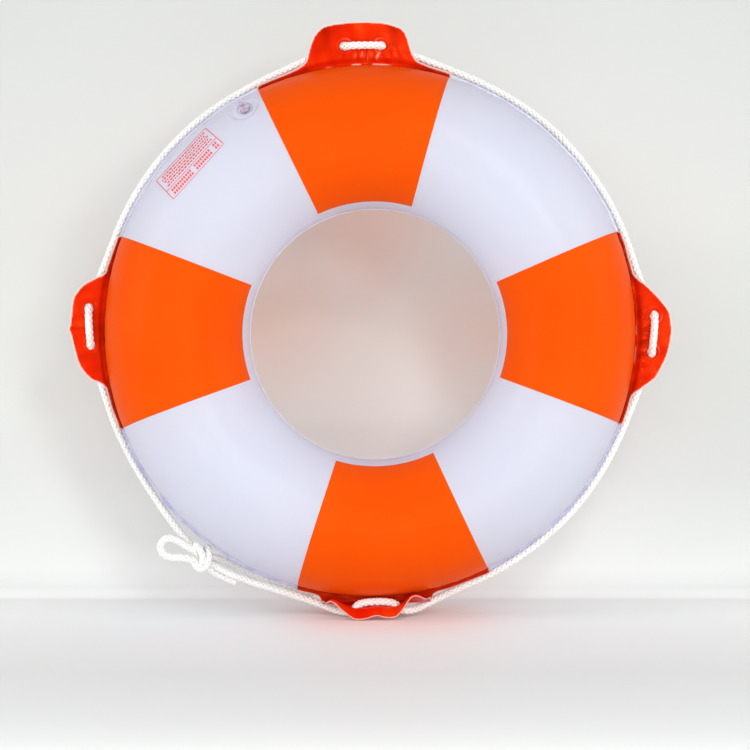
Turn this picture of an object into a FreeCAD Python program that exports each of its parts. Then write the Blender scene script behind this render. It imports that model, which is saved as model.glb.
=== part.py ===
import FreeCAD, Part
import Sketcher
import math
import os

# Ring lifebuoy: an inflatable PVC ring that stands upright on the front edge of its
# lowest tab.  The ring's axis lies along Y, its front faces -Y, and +Z is up.
# The origin is on the floor under the middle of the whole object.
# Angles about the ring are counted from +X towards +Z, as seen from the front.

V = FreeCAD.Vector
doc = FreeCAD.newDocument("ring_lifebuoy")

# ---------------------------------------------------------------- dimensions
sheet = doc.addObject("Spreadsheet::Sheet", "Dims")
DIMS = [
    ("ring_major", 206.5, "centre of ring to centre of tube"),
    ("tube_rad", 73.5, "outer radius of the inflated tube"),
    ("film", 0.5, "thickness of the film"),
    ("print_thick", 0.15, "thickness of the orange layer on the film"),
    ("print_out", 0.5, "tube angle where the orange starts, from the outer seam"),
    ("print_in", 157.5, "tube angle where the orange stops, short of the inner seam"),
    ("sector_deg", 42.3, "width of an orange sector"),
    ("centre_up", 302.47, "height of the ring's centre"),
    ("shift_x", -0.32, "sideways place of the ring's centre"),
    ("top_at", 93.7, "middle of the top orange sector"),
    ("left_at", 180.4, "middle of the left orange sector"),
    ("bottom_at", 275.35, "middle of the bottom orange sector"),
    ("right_at", 0.7, "middle of the right orange sector"),
    ("weld", 0.9, "thickness of the two welded films"),
    ("white_flange", 283.2, "outer radius of the weld in the white sectors"),
    ("orange_flange", 286.0, "outer radius of the weld in the orange sectors"),
    ("inner_weld", 131.2, "inner radius of the weld bead round the ring's hole"),
    ("tab_top_top", 327.0, "top tab: distance of its end from the ring's centre"),
    ("tab_top_left", 320.0, "left tab: the same"),
    ("tab_top_right", 320.5, "right tab: the same"),
    ("tab_base_r", 283.0, "radius of the tab's root line, inside the weld"),
    ("tab_wide_base", 120.0, "tab width at the root"),
    ("tab_wide_end", 94.0, "tab width at the end"),
    ("tab_corner", 21.0, "radius of the tab's end corners"),
    ("tab_root", 9.0, "radius where the tab runs into the weld"),
    ("tab_top_mid", 91.8, "middle of the top tab"),
    ("tab_left_mid", 179.4, "middle of the left tab"),
    ("tab_bottom_mid", 271.4, "middle of the bottom tab"),
    ("tab_right_mid", -0.9, "middle of the right tab"),
    ("hole_rad", 6.5, "radius of a rope hole"),
    ("hole_half", 21.0, "half the distance between a tab's two holes"),
    ("hole_at_top", 303.0, "top tab: distance of the holes from the ring's centre"),
    ("hole_at_left", 297.5, "left tab: the same"),
    ("hole_at_right", 299.0, "right tab: the same"),
    ("ring_emboss", 8.4, "outer radius of the raised weld ring round a hole"),
    ("emboss", 1.4, "thickness over the raised weld rings"),
    ("rope_dia", 8.5, "diameter of the grab line"),
    ("valve_az", 119.5, "place of the valve round the ring"),
    ("valve_phi", 36.1, "place of the valve round the tube, from the outer seam"),
    ("valve_tilt", 40.0, "lean of the valve from straight forward"),
    ("valve_sink", 3.1, "how deep the middle of the valve's flange lies"),
    ("base_rad", 9.2, "radius of the valve's flange"),
    ("base_wall", 0.6, "wall of the valve's well"),
    ("base_thick", 0.8, "thickness of the valve's flange"),
    ("base_bore", 5.2, "radius of the bore of the flange"),
    ("stem_rad", 4.9, "outer radius of the stem"),
    ("stem_bore", 3.3, "radius of the stem's bore"),
    ("stem_in", 14.0, "length of the stem inside the ring, pushed in"),
    ("stem_out", 2.5, "height of the stem above the flange, pushed in"),
    ("cap_rad", 7.0, "radius of the plug's cap"),
    ("cap_thick", 2.2, "thickness of the cap"),
    ("plug_rad", 3.0, "radius of the plug at its root"),
    ("plug_tip", 2.0, "radius of the plug at its tip"),
    ("plug_long", 5.0, "length of the plug"),
    ("hinge_off", 9.6, "distance of the plug's strap hinge from the stem's axis"),
    ("flap_rad", 4.2, "radius of the check flap"),
    ("flap_thick", 0.4, "thickness of the check flap"),
]
for i, (name, val, note) in enumerate(DIMS, 1):
    sheet.set("A%d" % i, name)
    sheet.set("B%d" % i, repr(val))
    sheet.setAlias("B%d" % i, name)
    sheet.set("C%d" % i, note)
doc.recompute()


def dim(name):
    return float(getattr(sheet, name))


PARTS = []


def keep(obj, label):
    obj.Label = label
    PARTS.append(obj)
    return obj


def plane_of(body, role):
    for feat in body.Origin.OriginFeatures:
        if feat.Role == role:
            return feat
    raise RuntimeError(role)


def new_body(label, at_deg=None):
    body = doc.addObject("PartDesign::Body", label)
    keep(body, label)
    if at_deg is not None:
        body.Placement = FreeCAD.Placement(V(dim("shift_x"), 0, dim("centre_up")),
                                           FreeCAD.Rotation(V(0, -1, 0), at_deg))
        body.setExpression("Placement.Base.z", "Dims.centre_up")
        body.setExpression("Placement.Base.x", "Dims.shift_x")
    return body


def new_sketch(body, role, name="Sketch", turn=None):
    sk = body.newObject("Sketcher::SketchObject", name)
    sk.AttachmentSupport = (plane_of(body, role), [""])
    sk.MapMode = "FlatFace"
    if turn is not None:
        sk.AttachmentOffset = FreeCAD.Placement(V(0, 0, 0), FreeCAD.Rotation(V(0, 0, 1), turn))
    return sk


def bind(sk, con, expr):
    idx = sk.addConstraint(con)
    if expr is not None:
        sk.setExpression("Constraints[%d]" % idx, expr)
    return idx


# A band between two arcs about the tube's centre (ring_major, 0) of the sketch.
def arc_band(sk, r_out, r_in, a0, a1, e_out, e_in, e_a0, e_a1):
    c = V(dim("ring_major"), 0, 0)
    s0, s1 = math.radians(a0), math.radians(a1)

    def pt(r, a):
        return V(c.x + r * math.cos(a), c.y + r * math.sin(a), 0)
    g_out = sk.addGeometry(Part.ArcOfCircle(Part.Circle(c, V(0, 0, 1), r_out), s0, s1), False)
    g_in = sk.addGeometry(Part.ArcOfCircle(Part.Circle(c, V(0, 0, 1), r_in), s0, s1), False)
    g_l0 = sk.addGeometry(Part.LineSegment(pt(r_in, s0), pt(r_out, s0)), False)
    g_l1 = sk.addGeometry(Part.LineSegment(pt(r_in, s1), pt(r_out, s1)), False)
    sk.addConstraint([
        Sketcher.Constraint("Coincident", g_l0, 2, g_out, 1),
        Sketcher.Constraint("Coincident", g_l0, 1, g_in, 1),
        Sketcher.Constraint("Coincident", g_l1, 2, g_out, 2),
        Sketcher.Constraint("Coincident", g_l1, 1, g_in, 2),
        Sketcher.Constraint("Coincident", g_out, 3, g_in, 3),
        Sketcher.Constraint("PointOnObject", g_out, 3, -1),
        Sketcher.Constraint("PointOnObject", g_out, 3, g_l0),
        Sketcher.Constraint("PointOnObject", g_out, 3, g_l1),
    ])
    bind(sk, Sketcher.Constraint("DistanceX", -1, 1, g_out, 3, dim("ring_major")), "Dims.ring_major")
    bind(sk, Sketcher.Constraint("Radius", g_out, r_out), e_out)
    bind(sk, Sketcher.Constraint("Radius", g_in, r_in), e_in)
    for g, a, e in ((g_l0, a0, e_a0), (g_l1, a1, e_a1)):
        if e is None:
            sk.addConstraint(Sketcher.Constraint("Horizontal", g))
        else:
            bind(sk, Sketcher.Constraint("Angle", g, math.radians(a)), e)


# A rectangle of the sketch from x0 to x1 and symmetric about the sketch's X axis.
def rect_ring(sk, x0, x1, half, e_x0, e_x1, e_half2):
    pts = [V(x0, -half, 0), V(x1, -half, 0), V(x1, half, 0), V(x0, half, 0)]
    for i in range(4):
        sk.addGeometry(Part.LineSegment(pts[i], pts[(i + 1) % 4]), False)
    for i in range(4):
        sk.addConstraint(Sketcher.Constraint("Coincident", i, 2, (i + 1) % 4, 1))
    sk.addConstraint([
        Sketcher.Constraint("Horizontal", 0), Sketcher.Constraint("Horizontal", 2),
        Sketcher.Constraint("Vertical", 1),
        Sketcher.Constraint("Symmetric", 0, 1, 2, 2, -1),
    ])
    bind(sk, Sketcher.Constraint("DistanceX", -1, 1, 0, 1, x0), e_x0)
    bind(sk, Sketcher.Constraint("DistanceX", -1, 1, 0, 2, x1), e_x1)
    bind(sk, Sketcher.Constraint("DistanceY", 0, 1, 2, 2, 2 * half), e_half2)


# A closed outline from corner points, each held by its distances from the sketch's origin.
def outline(sk, pts, exprs=None):
    n = len(pts)
    for i in range(n):
        a, b = pts[i], pts[(i + 1) % n]
        sk.addGeometry(Part.LineSegment(V(a[0], a[1], 0), V(b[0], b[1], 0)), False)
    for i in range(n):
        sk.addConstraint(Sketcher.Constraint("Coincident", i, 2, (i + 1) % n, 1))
    for i in range(n):
        ex, ey = (exprs[i] if exprs else (None, None))
        for kind, val, e in (("DistanceX", pts[i][0], ex), ("DistanceY", pts[i][1], ey)):
            if abs(val) < 1e-9:
                sk.addConstraint(Sketcher.Constraint("PointOnObject", i, 1, -2 if kind == "DistanceX" else -1))
            else:
                bind(sk, Sketcher.Constraint(kind, -1, 1, i, 1, val), e)


def revolve(body, sk, angle=360.0, expr=None, mid=False, name="Revolution"):
    rev = body.newObject("PartDesign::Revolution", name)
    rev.Profile = sk
    rev.ReferenceAxis = (sk, ["V_Axis"])
    rev.Angle = angle
    if expr:
        rev.setExpression("Angle", expr)
    if mid:
        rev.Midplane = True
    return rev


def pad(body, sk, length, expr=None, mid=False, name="Pad", rev=False):
    p = body.newObject("PartDesign::Pad", name)
    p.Profile = sk
    p.Length = length
    if expr:
        p.setExpression("Length", expr)
    if mid:
        p.Midplane = True
    if rev:
        p.Reversed = True
    return p


RM, RT = dim("ring_major"), dim("tube_rad")
OUTER = RM + RT
INNER = RM - RT

# ---------------------------------------------------------------- valve frame
az = math.radians(dim("valve_az"))
phi = math.radians(dim("valve_phi"))
tilt = math.radians(dim("valve_tilt"))
r_hat = V(math.cos(az), 0, math.sin(az))
front = V(0, -1, 0)
centre = V(dim("shift_x"), 0, dim("centre_up"))
v_axis = r_hat * math.sin(tilt) + front * math.cos(tilt)
v_strap = r_hat * math.cos(tilt) - front * math.sin(tilt)
skin_pt = centre + r_hat * (RM + RT * math.cos(phi)) + front * (RT * math.sin(phi))
v_org = skin_pt - v_axis * dim("valve_sink")
v_x = v_strap * -1.0
v_y = v_axis.cross(v_x)
VALVE = FreeCAD.Placement(v_org, FreeCAD.Rotation(v_x, v_y, v_axis, "ZXY"))

# ---------------------------------------------------------------- the two films
film = new_body("front_film", 0.0)
sk = new_sketch(film, "XY_Plane")
arc_band(sk, RT, RT - dim("film"), -180.0, 0.0, "Dims.tube_rad", "Dims.tube_rad - Dims.film", None, None)
revolve(film, sk)
doc.recompute()
vol0 = film.Shape.Volume
cutter = film.newObject("PartDesign::SubtractiveCylinder", "ValveWell")
cutter.setExpression("Radius", "Dims.base_rad")
cutter.Height = 24.0
cutter.Placement = film.Placement.inverse().multiply(VALVE).multiply(
    FreeCAD.Placement(V(0, 0, -12), FreeCAD.Rotation()))
doc.recompute()
print("front_film cut by the valve well:", round(vol0 - film.Shape.Volume, 1), "mm3")

film_b = new_body("back_film", 0.0)
sk = new_sketch(film_b, "XY_Plane")
arc_band(sk, RT, RT - dim("film"), 0.0, 180.0, "Dims.tube_rad", "Dims.tube_rad - Dims.film", None, None)
revolve(film_b, sk)

# ---------------------------------------------------------------- orange sectors
SECTORS = (("top", "top_at"), ("left", "left_at"), ("bottom", "bottom_at"), ("right", "right_at"))
for side, sign in (("front", -1), ("back", 1)):
    for where, cell in SECTORS:
        body = new_body("%s_panel_%s" % (side, where), dim(cell))
        sk = new_sketch(body, "XY_Plane")
        a_out, a_in = dim("print_out"), dim("print_in")
        if sign < 0:
            arc_band(sk, RT + dim("print_thick"), RT, -a_in, -a_out,
                     "Dims.tube_rad + Dims.print_thick", "Dims.tube_rad",
                     "-Dims.print_in * 1 deg", "-Dims.print_out * 1 deg")
        else:
            arc_band(sk, RT + dim("print_thick"), RT, a_out, a_in,
                     "Dims.tube_rad + Dims.print_thick", "Dims.tube_rad",
                     "Dims.print_out * 1 deg", "Dims.print_in * 1 deg")
        revolve(body, sk, dim("sector_deg"), "Dims.sector_deg", mid=True)

# ---------------------------------------------------------------- outer weld, white sectors
half = dim("sector_deg") / 2.0
GAPS = (("upper_left", "top_at", "left_at", 0.0), ("lower_left", "left_at", "bottom_at", 0.0),
        ("lower_right", "bottom_at", "right_at", 360.0), ("upper_right", "right_at", "top_at", 0.0))
for where, c0, c1, wrap in GAPS:
    a0, a1 = dim(c0), dim(c1) + wrap
    body = new_body("weld_%s" % where, (a0 + a1) / 2.0)
    sk = new_sketch(body, "XY_Plane")
    rect_ring(sk, OUTER, dim("white_flange"), dim("weld") / 2,
              "Dims.ring_major + Dims.tube_rad", "Dims.white_flange", "Dims.weld")
    revolve(body, sk, a1 - a0 - 2 * half,
            "Dims.%s + %g - Dims.%s - Dims.sector_deg" % (c1, wrap, c0), mid=True)

# inner weld bead, round the ring's hole
body = new_body("inner_weld", 0.0)
sk = new_sketch(body, "XY_Plane")
rect_ring(sk, dim("inner_weld"), INNER, dim("weld") / 2,
          "Dims.inner_weld", "Dims.ring_major - Dims.tube_rad", "Dims.weld")
revolve(body, sk)

# ---------------------------------------------------------------- flat tabs
# Each tab is one flat piece with its strip of weld; two holes for the grab line.


def tab_sketch(sk, top_cell, hole_cell):
    rb, wb = dim("tab_base_r"), dim("tab_wide_base") / 2
    xt, wt = dim(top_cell), dim("tab_wide_end") / 2
    beta = math.asin(wb / rb)
    xb = rb * math.cos(beta)
    g_a = sk.addGeometry(Part.ArcOfCircle(Part.Circle(V(0, 0, 0), V(0, 0, 1), rb), -beta, beta), False)
    g_1 = sk.addGeometry(Part.LineSegment(V(xb, wb, 0), V(xt, wt, 0)), False)
    g_2 = sk.addGeometry(Part.LineSegment(V(xt, wt, 0), V(xt, -wt, 0)), False)
    g_3 = sk.addGeometry(Part.LineSegment(V(xt, -wt, 0), V(xb, -wb, 0)), False)
    sk.addConstraint([
        Sketcher.Constraint("Coincident", g_a, 2, g_1, 1),
        Sketcher.Constraint("Coincident", g_1, 2, g_2, 1),
        Sketcher.Constraint("Coincident", g_2, 2, g_3, 1),
        Sketcher.Constraint("Coincident", g_3, 2, g_a, 1),
        Sketcher.Constraint("Coincident", g_a, 3, -1, 1),
        Sketcher.Constraint("Symmetric", g_2, 1, g_2, 2, -1),
        Sketcher.Constraint("Vertical", g_a, 1, g_a, 2),
    ])
    bind(sk, Sketcher.Constraint("Radius", g_a, rb), "Dims.tab_base_r")
    bind(sk, Sketcher.Constraint("DistanceX", -1, 1, g_2, 1, xt), "Dims." + top_cell)
    bind(sk, Sketcher.Constraint("DistanceY", g_2, 2, g_2, 1, 2 * wt), "Dims.tab_wide_end")
    bind(sk, Sketcher.Constraint("DistanceY", g_a, 1, g_a, 2, 2 * wb), "Dims.tab_wide_base")
    hole_pair(sk, dim(hole_cell), "Dims." + hole_cell, dim("hole_rad"), "Dims.hole_rad")


def hole_pair(sk, xh, e_xh, rad, e_rad):
    hh = dim("hole_half")
    for s in (1, -1):
        g = sk.addGeometry(Part.Circle(V(xh, s * hh, 0), V(0, 0, 1), rad), False)
        bind(sk, Sketcher.Constraint("Radius", g, rad), e_rad)
        bind(sk, Sketcher.Constraint("DistanceX", -1, 1, g, 3, xh), e_xh)
        if s > 0:
            bind(sk, Sketcher.Constraint("DistanceY", -1, 1, g, 3, hh), "Dims.hole_half")
        else:
            bind(sk, Sketcher.Constraint("DistanceY", g, 3, -1, 1, hh), "Dims.hole_half")


def y_edges(shape, test):
    names = []
    for i, e in enumerate(shape.Edges, 1):
        if len(e.Vertexes) != 2:
            continue
        p, q = e.Vertexes[0].Point, e.Vertexes[1].Point
        if abs(p.x - q.x) < 1e-4 and abs(p.z - q.z) < 1e-4 and abs(p.y - q.y) > 0.1 and test(p):
            names.append("Edge%d" % i)
    return names


for where, sec_cell, mid_cell, top_cell, hole_cell in (
        ("top", "top_at", "tab_top_mid", "tab_top_top", "hole_at_top"),
        ("left", "left_at", "tab_left_mid", "tab_top_left", "hole_at_left"),
        ("right", "right_at", "tab_right_mid", "tab_top_right", "hole_at_right")):
    body = new_body("tab_" + where, dim(sec_cell))
    turn = dim(mid_cell) - dim(sec_cell)
    sk = new_sketch(body, "XZ_Plane", "TabOutline", turn)
    tab_sketch(sk, top_cell, hole_cell)
    pad(body, sk, dim("weld"), "Dims.weld", mid=True, name="TabPad")
    doc.recompute()
    far = dim(top_cell) - 6
    last = body.Tip
    edges = y_edges(last.Shape, lambda p: math.hypot(p.x, p.z) > far)
    fil = body.newObject("PartDesign::Fillet", "EndCorners")
    fil.Base = (last, edges)
    fil.setExpression("Radius", "Dims.tab_corner")
    doc.recompute()
    sk = new_sketch(body, "XY_Plane", "WeldProfile")
    rect_ring(sk, OUTER, dim("orange_flange"), dim("weld") / 2,
              "Dims.ring_major + Dims.tube_rad", "Dims.orange_flange", "Dims.weld")
    revolve(body, sk, dim("sector_deg"), "Dims.sector_deg", mid=True, name="WeldStrip")
    doc.recompute()
    of = dim("orange_flange")
    last = body.Tip
    edges = y_edges(last.Shape, lambda p: abs(math.hypot(p.x, p.z) - of) < 0.02
                    and abs(math.degrees(math.atan2(p.z, p.x)) - turn) < 14)
    fil2 = body.newObject("PartDesign::Fillet", "RootCorners")
    fil2.Base = (last, edges)
    fil2.setExpression("Radius", "Dims.tab_root")
    doc.recompute()
    sk = new_sketch(body, "XZ_Plane", "WeldRings", turn)
    hole_pair(sk, dim(hole_cell), "Dims." + hole_cell, dim("hole_rad"), "Dims.hole_rad")
    hole_pair(sk, dim(hole_cell), "Dims." + hole_cell, dim("ring_emboss"), "Dims.ring_emboss")
    pad(body, sk, dim("emboss"), "Dims.emboss", mid=True, name="RaisedRings")
    doc.recompute()

# ---------------------------------------------------------------- bottom tab
# It is bent forward under the ring and down to the floor, so its section is a bent strip.
# Local frame: X outward from the ring's centre, Y back, Z along the ring's edge.
BT_PATH = [(277.0, 0.0), (287.5, 0.0), (291.5, -24.0), (301.3, -37.0)]


def strip_face(path, thick):
    n = len(path)
    left, right = [], []
    for i in range(n):
        if i == 0:
            d = (path[1][0] - path[0][0], path[1][1] - path[0][1])
            l = math.hypot(*d)
            nx, ny, k = -d[1] / l, d[0] / l, 1.0
        elif i == n - 1:
            d = (path[i][0] - path[i - 1][0], path[i][1] - path[i - 1][1])
            l = math.hypot(*d)
            nx, ny, k = -d[1] / l, d[0] / l, 1.0
        else:
            d0 = (path[i][0] - path[i - 1][0], path[i][1] - path[i - 1][1])
            d1 = (path[i + 1][0] - path[i][0], path[i + 1][1] - path[i][1])
            l0, l1 = math.hypot(*d0), math.hypot(*d1)
            n0 = (-d0[1] / l0, d0[0] / l0)
            n1 = (-d1[1] / l1, d1[0] / l1)
            mx, my = n0[0] + n1[0], n0[1] + n1[1]
            ml = math.hypot(mx, my)
            nx, ny = mx / ml, my / ml
            k = 1.0 / (nx * n0[0] + ny * n0[1])
        off = thick / 2 * k
        left.append(V(path[i][0] + nx * off, path[i][1] + ny * off, 0))
        right.append(V(path[i][0] - nx * off, path[i][1] - ny * off, 0))
    return Part.Face(Part.makePolygon(left + right[::-1] + [left[0]]))


def bottom_tab_shape():
    weld = dim("weld")
    wide = 116.0
    solid = strip_face(BT_PATH, weld).extrude(V(0, 0, wide))
    solid.translate(V(0, 0, -wide / 2))
    # the inside of each bend gets the small radius, the outside that plus the thickness
    for corner, rad in ((BT_PATH[1], 3.0), (BT_PATH[2], 12.0)):
        pair = [e for e in solid.Edges if abs(e.Vertexes[0].Point.z - e.Vertexes[-1].Point.z) > 1
                and math.hypot(e.Vertexes[0].Point.x - corner[0], e.Vertexes[0].Point.y - corner[1]) < 1.2]
        if corner is BT_PATH[1]:
            inner = min(pair, key=lambda e: e.Vertexes[0].Point.x)
        else:
            inner = min(pair, key=lambda e: -e.Vertexes[0].Point.x)
        outer = [e for e in pair if not e.isSame(inner)][0]
        solid = solid.makeFillet(rad, [inner])
        outer2 = [e for e in solid.Edges if abs(e.Vertexes[0].Point.z - e.Vertexes[-1].Point.z) > 1
                  and (e.Vertexes[0].Point - outer.Vertexes[0].Point).Length < 0.01
                  or (abs(e.Vertexes[0].Point.z - e.Vertexes[-1].Point.z) > 1
                      and (e.Vertexes[-1].Point - outer.Vertexes[0].Point).Length < 0.01)]
        solid = solid.makeFillet(rad + weld, [outer2[0]])
    # the tab narrows towards its front edge and its corners are round
    far = -BT_PATH[-1][1] + 2
    prof = [(4.0, 57.5), (-8.0, 57.5), (-26.0, 52.0), (-34.0, 45.0), (-far, 30.0), (-far, -30.0),
            (-34.0, -45.0), (-26.0, -52.0), (-8.0, -57.5), (4.0, -57.5)]
    poly = Part.makePolygon([V(0, y, z) for y, z in prof] + [V(0, prof[0][0], prof[0][1])])
    solid = solid.common(Part.Face(poly).extrude(V(400, 0, 0)))
    # nothing inside the tube's outline
    solid = solid.cut(Part.makeCylinder(OUTER, 60, V(0, -1.5, 0), V(0, 1, 0)))
    # rope holes, square to the sloping part
    b, c = BT_PATH[1], BT_PATH[2]
    sl = math.hypot(c[0] - b[0], c[1] - b[1])
    dx, dy = (c[0] - b[0]) / sl, (c[1] - b[1]) / sl
    nrm = V(-dy, dx, 0)
    hx, hy = b[0] + dx * 17.2, b[1] + dy * 17.2
    rings = []
    for s in (1, -1):
        base = V(hx, hy, s * dim("hole_half"))
        em = dim("emboss")
        rings.append(Part.makeCylinder(dim("ring_emboss"), em, base - nrm * (em / 2), nrm))
    for rg in rings:
        solid = solid.fuse(rg)
    for s in (1, -1):
        base = V(hx, hy, s * dim("hole_half"))
        solid = solid.cut(Part.makeCylinder(dim("hole_rad"), 8, base - nrm * 4, nrm))
    # strip of weld; its middle is turned from the tab's
    turn = dim("bottom_at") - dim("tab_bottom_mid")
    rect = Part.Face(Part.makePolygon([V(OUTER, -weld / 2, 0), V(dim("orange_flange"), -weld / 2, 0),
                                       V(dim("orange_flange"), weld / 2, 0), V(OUTER, weld / 2, 0),
                                       V(OUTER, -weld / 2, 0)]))
    rect.rotate(V(0, 0, 0), V(0, -1, 0), turn - dim("sector_deg") / 2)
    strip = rect.revolve(V(0, 0, 0), V(0, -1, 0), dim("sector_deg"))
    solid = solid.fuse(strip).removeSplitter()
    return solid


tab_b = doc.addObject("Part::Feature", "tab_bottom")
tab_b.Shape = bottom_tab_shape()
tab_b.Placement = FreeCAD.Placement(centre, FreeCAD.Rotation(V(0, -1, 0), dim("tab_bottom_mid")))
keep(tab_b, "tab_bottom")

# ---------------------------------------------------------------- inflation valve
# Flange: a shallow well let into the film, square to the stem.
vb_out = doc.addObject("Part::Cylinder", "BaseOuter")
vb_out.setExpression("Radius", "Dims.base_rad")
vb_out.setExpression("Height", "12 + Dims.base_thick")
vb_out.Placement = VALVE.multiply(FreeCAD.Placement(V(0, 0, -dim("base_thick")), FreeCAD.Rotation()))
vb_in = doc.addObject("Part::Cylinder", "BaseInner")
vb_in.setExpression("Radius", "Dims.base_rad - Dims.base_wall")
vb_in.Height = 14
vb_in.Placement = VALVE
vb_bore = doc.addObject("Part::Cylinder", "BaseBore")
vb_bore.setExpression("Radius", "Dims.base_bore")
vb_bore.Height = 30
vb_bore.Placement = VALVE.multiply(FreeCAD.Placement(V(0, 0, -15), FreeCAD.Rotation()))
vb_cup = doc.addObject("Part::Cut", "BaseCup")
vb_cup.Base, vb_cup.Tool = vb_out, vb_in
vb_ring = doc.addObject("Part::Cut", "BaseRing")
vb_ring.Base, vb_ring.Tool = vb_cup, vb_bore
vb_tube = doc.addObject("Part::Torus", "TubeOutside")
vb_tube.setExpression("Radius1", "Dims.ring_major")
vb_tube.setExpression("Radius2", "Dims.tube_rad")
vb_tube.Placement = FreeCAD.Placement(centre, FreeCAD.Rotation(V(1, 0, 0), 90))
vb = doc.addObject("Part::Common", "valve_base")
vb.Base, vb.Tool = vb_ring, vb_tube
keep(vb, "valve_base")

# Stem: a short tube, drawn pushed in.
stem = new_body("valve_stem")
stem.Placement = VALVE
sk = new_sketch(stem, "XZ_Plane", "StemWall")
ri, ro, z0, z1 = dim("stem_bore"), dim("stem_rad"), -dim("stem_in"), dim("stem_out")
outline(sk, [(ri, z0), (ro, z0), (ro, z1), (ri, z1)],
        [("Dims.stem_bore", "-Dims.stem_in"), ("Dims.stem_rad", "-Dims.stem_in"),
         ("Dims.stem_rad", "Dims.stem_out"), ("Dims.stem_bore", "Dims.stem_out")])
revolve(stem, sk)
doc.recompute()
# lug that carries the check flap, at the inner end
sk = new_sketch(stem, "XZ_Plane", "FlapLug")
outline(sk, [(3.6, z0 + 1.0), (3.6, z0 - 0.25), (4.8, z0 - 0.25), (4.8, z0 + 1.0)])
pad(stem, sk, 1.6, mid=True, name="FlapLugPad")

# Strap: from the stem's side out to the hinge of the plug.
strap = new_body("plug_strap")
strap.Placement = VALVE
sk = new_sketch(strap, "XZ_Plane", "StrapShape")
ho = dim("hinge_off")
outline(sk, [(-ro + 0.02, 0.7), (-ho - 0.6, 0.7), (-ho - 0.6, 2.6), (-ho + 0.2, 2.6), (-ho + 0.2, 1.4), (-ro + 0.02, 1.4)])
pad(strap, sk, 3.4, mid=True, name="StrapPad")

# Plug: a round cap with a tapered plug under it and an ear towards the hinge.
plug = new_body("valve_plug")
plug.Placement = VALVE
sk = new_sketch(plug, "XZ_Plane", "PlugProfile")
gap = 0.12
zc0 = dim("stem_out") + gap
zc1 = zc0 + dim("cap_thick")
cr, pr, pt_ = dim("cap_rad"), dim("plug_rad"), dim("plug_tip")
outline(sk, [(0, zc0 - dim("plug_long")), (pt_, zc0 - dim("plug_long")), (pr, zc0), (cr, zc0),
             (cr, zc1 - 0.7), (cr - 0.7, zc1), (0, zc1)])
revolve(plug, sk)
doc.recompute()
sk = new_sketch(plug, "XZ_Plane", "Ear")
outline(sk, [(-cr + 0.6, zc0 + 0.5), (-ho - 0.1, zc0 + 0.5), (-ho - 0.1, zc0 + 1.3), (-cr + 0.6, zc0 + 1.3)])
pad(plug, sk, 3.0, mid=True, name="EarPad")

# Check flap: a thin leaf under the stem's inner end.
flap = new_body("check_flap")
flap.Placement = VALVE
sk = new_sketch(flap, "XY_Plane", "FlapDisc")
g = sk.addGeometry(Part.Circle(V(0, 0, 0), V(0, 0, 1), dim("flap_rad")), False)
sk.addConstraint(Sketcher.Constraint("Coincident", g, 3, -1, 1))
bind(sk, Sketcher.Constraint("Radius", g, dim("flap_rad")), "Dims.flap_rad")
sk.AttachmentOffset = FreeCAD.Placement(V(0, 0, -dim("stem_in") - 0.35 - dim("flap_thick")), FreeCAD.Rotation())
pad(flap, sk, dim("flap_thick"), "Dims.flap_thick", name="FlapPad")

# ---------------------------------------------------------------- grab line
# Each cord is a round tube along straight runs joined by tangent arcs.
# An arc's radius is 0.45 of the shorter run, divided by the tangent of half the turn.


def cord_wire(pts, label):
    edges, radii = [], []
    start = pts[0]
    for i in range(1, len(pts) - 1):
        a, b, c = pts[i - 1], pts[i], pts[i + 1]
        u, w = (a - b), (c - b)
        lu, lw = u.Length, w.Length
        u, w = u * (1 / lu), w * (1 / lw)
        turn = math.pi - math.acos(max(-1, min(1, u.dot(w))))
        cut = 0.45 * min(lu, lw)
        rad = cut / math.tan(turn / 2)
        radii.append((round(math.degrees(turn), 1), round(rad, 1)))
        p, q = b + u * cut, b + w * cut
        bis = (u + w)
        bis.normalize()
        mid = b + bis * (rad / math.cos(turn / 2) - rad)
        edges.append(Part.LineSegment(start, p).toShape())
        edges.append(Part.Arc(p, mid, q).toShape())
        start = q
    edges.append(Part.LineSegment(start, pts[-1]).toShape())
    wire = Part.Wire(edges)
    runs = [round((pts[i + 1] - pts[i]).Length, 1) for i in range(len(pts) - 1)]
    print(label, "length %.1f" % wire.Length, "runs", runs)
    print(label, "turn deg, radius mm:", radii)
    return wire


def cord(label, pts, dia):
    wire = cord_wire(pts, label)
    d = pts[1] - pts[0]
    circ = Part.Wire([Part.Circle(pts[0], d, dia / 2).toShape()])
    solid = wire.makePipeShell([circ], True, False)
    want = math.pi * dia * dia / 4 * wire.Length
    print(label, "volume / (section x length) = %.4f" % (abs(solid.Volume) / want))
    obj = doc.addObject("Part::Feature", label)
    obj.Shape = solid
    obj.Placement = FreeCAD.Placement()
    keep(obj, label)
    return obj


def polar(r, deg, y):
    a = math.radians(deg)
    return centre + V(r * math.cos(a), y, r * math.sin(a))


# a point beside a tab: t along the ring's edge (with rising angle), w outward, y back
def at_tab(mid_deg, t, w, y):
    a = math.radians(mid_deg)
    return centre + V(w * math.cos(a) - t * math.sin(a), y, w * math.sin(a) + t * math.cos(a))


KNOT = centre + V(-178.5, 1.5, -239.6)
DIA = dim("rope_dia")


# behind the tab, forward through one hole, along the front, back through the other
def lace(mid_deg, w, sgn, tilt_in=0.0):
    rows = [(-26.0, 7.0), (-16.0, -7.0), (16.0, -7.0), (26.0, 7.0)]
    return [at_tab(mid_deg, sgn * t, w + tilt_in * sgn * t, y) for t, y in rows]


TL, TT, TR, TB = dim("tab_left_mid"), dim("tab_top_mid"), dim("tab_right_mid"), dim("tab_bottom_mid")
HL, HT, HR = dim("hole_at_left"), dim("hole_at_top"), dim("hole_at_right")
line = []
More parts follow.
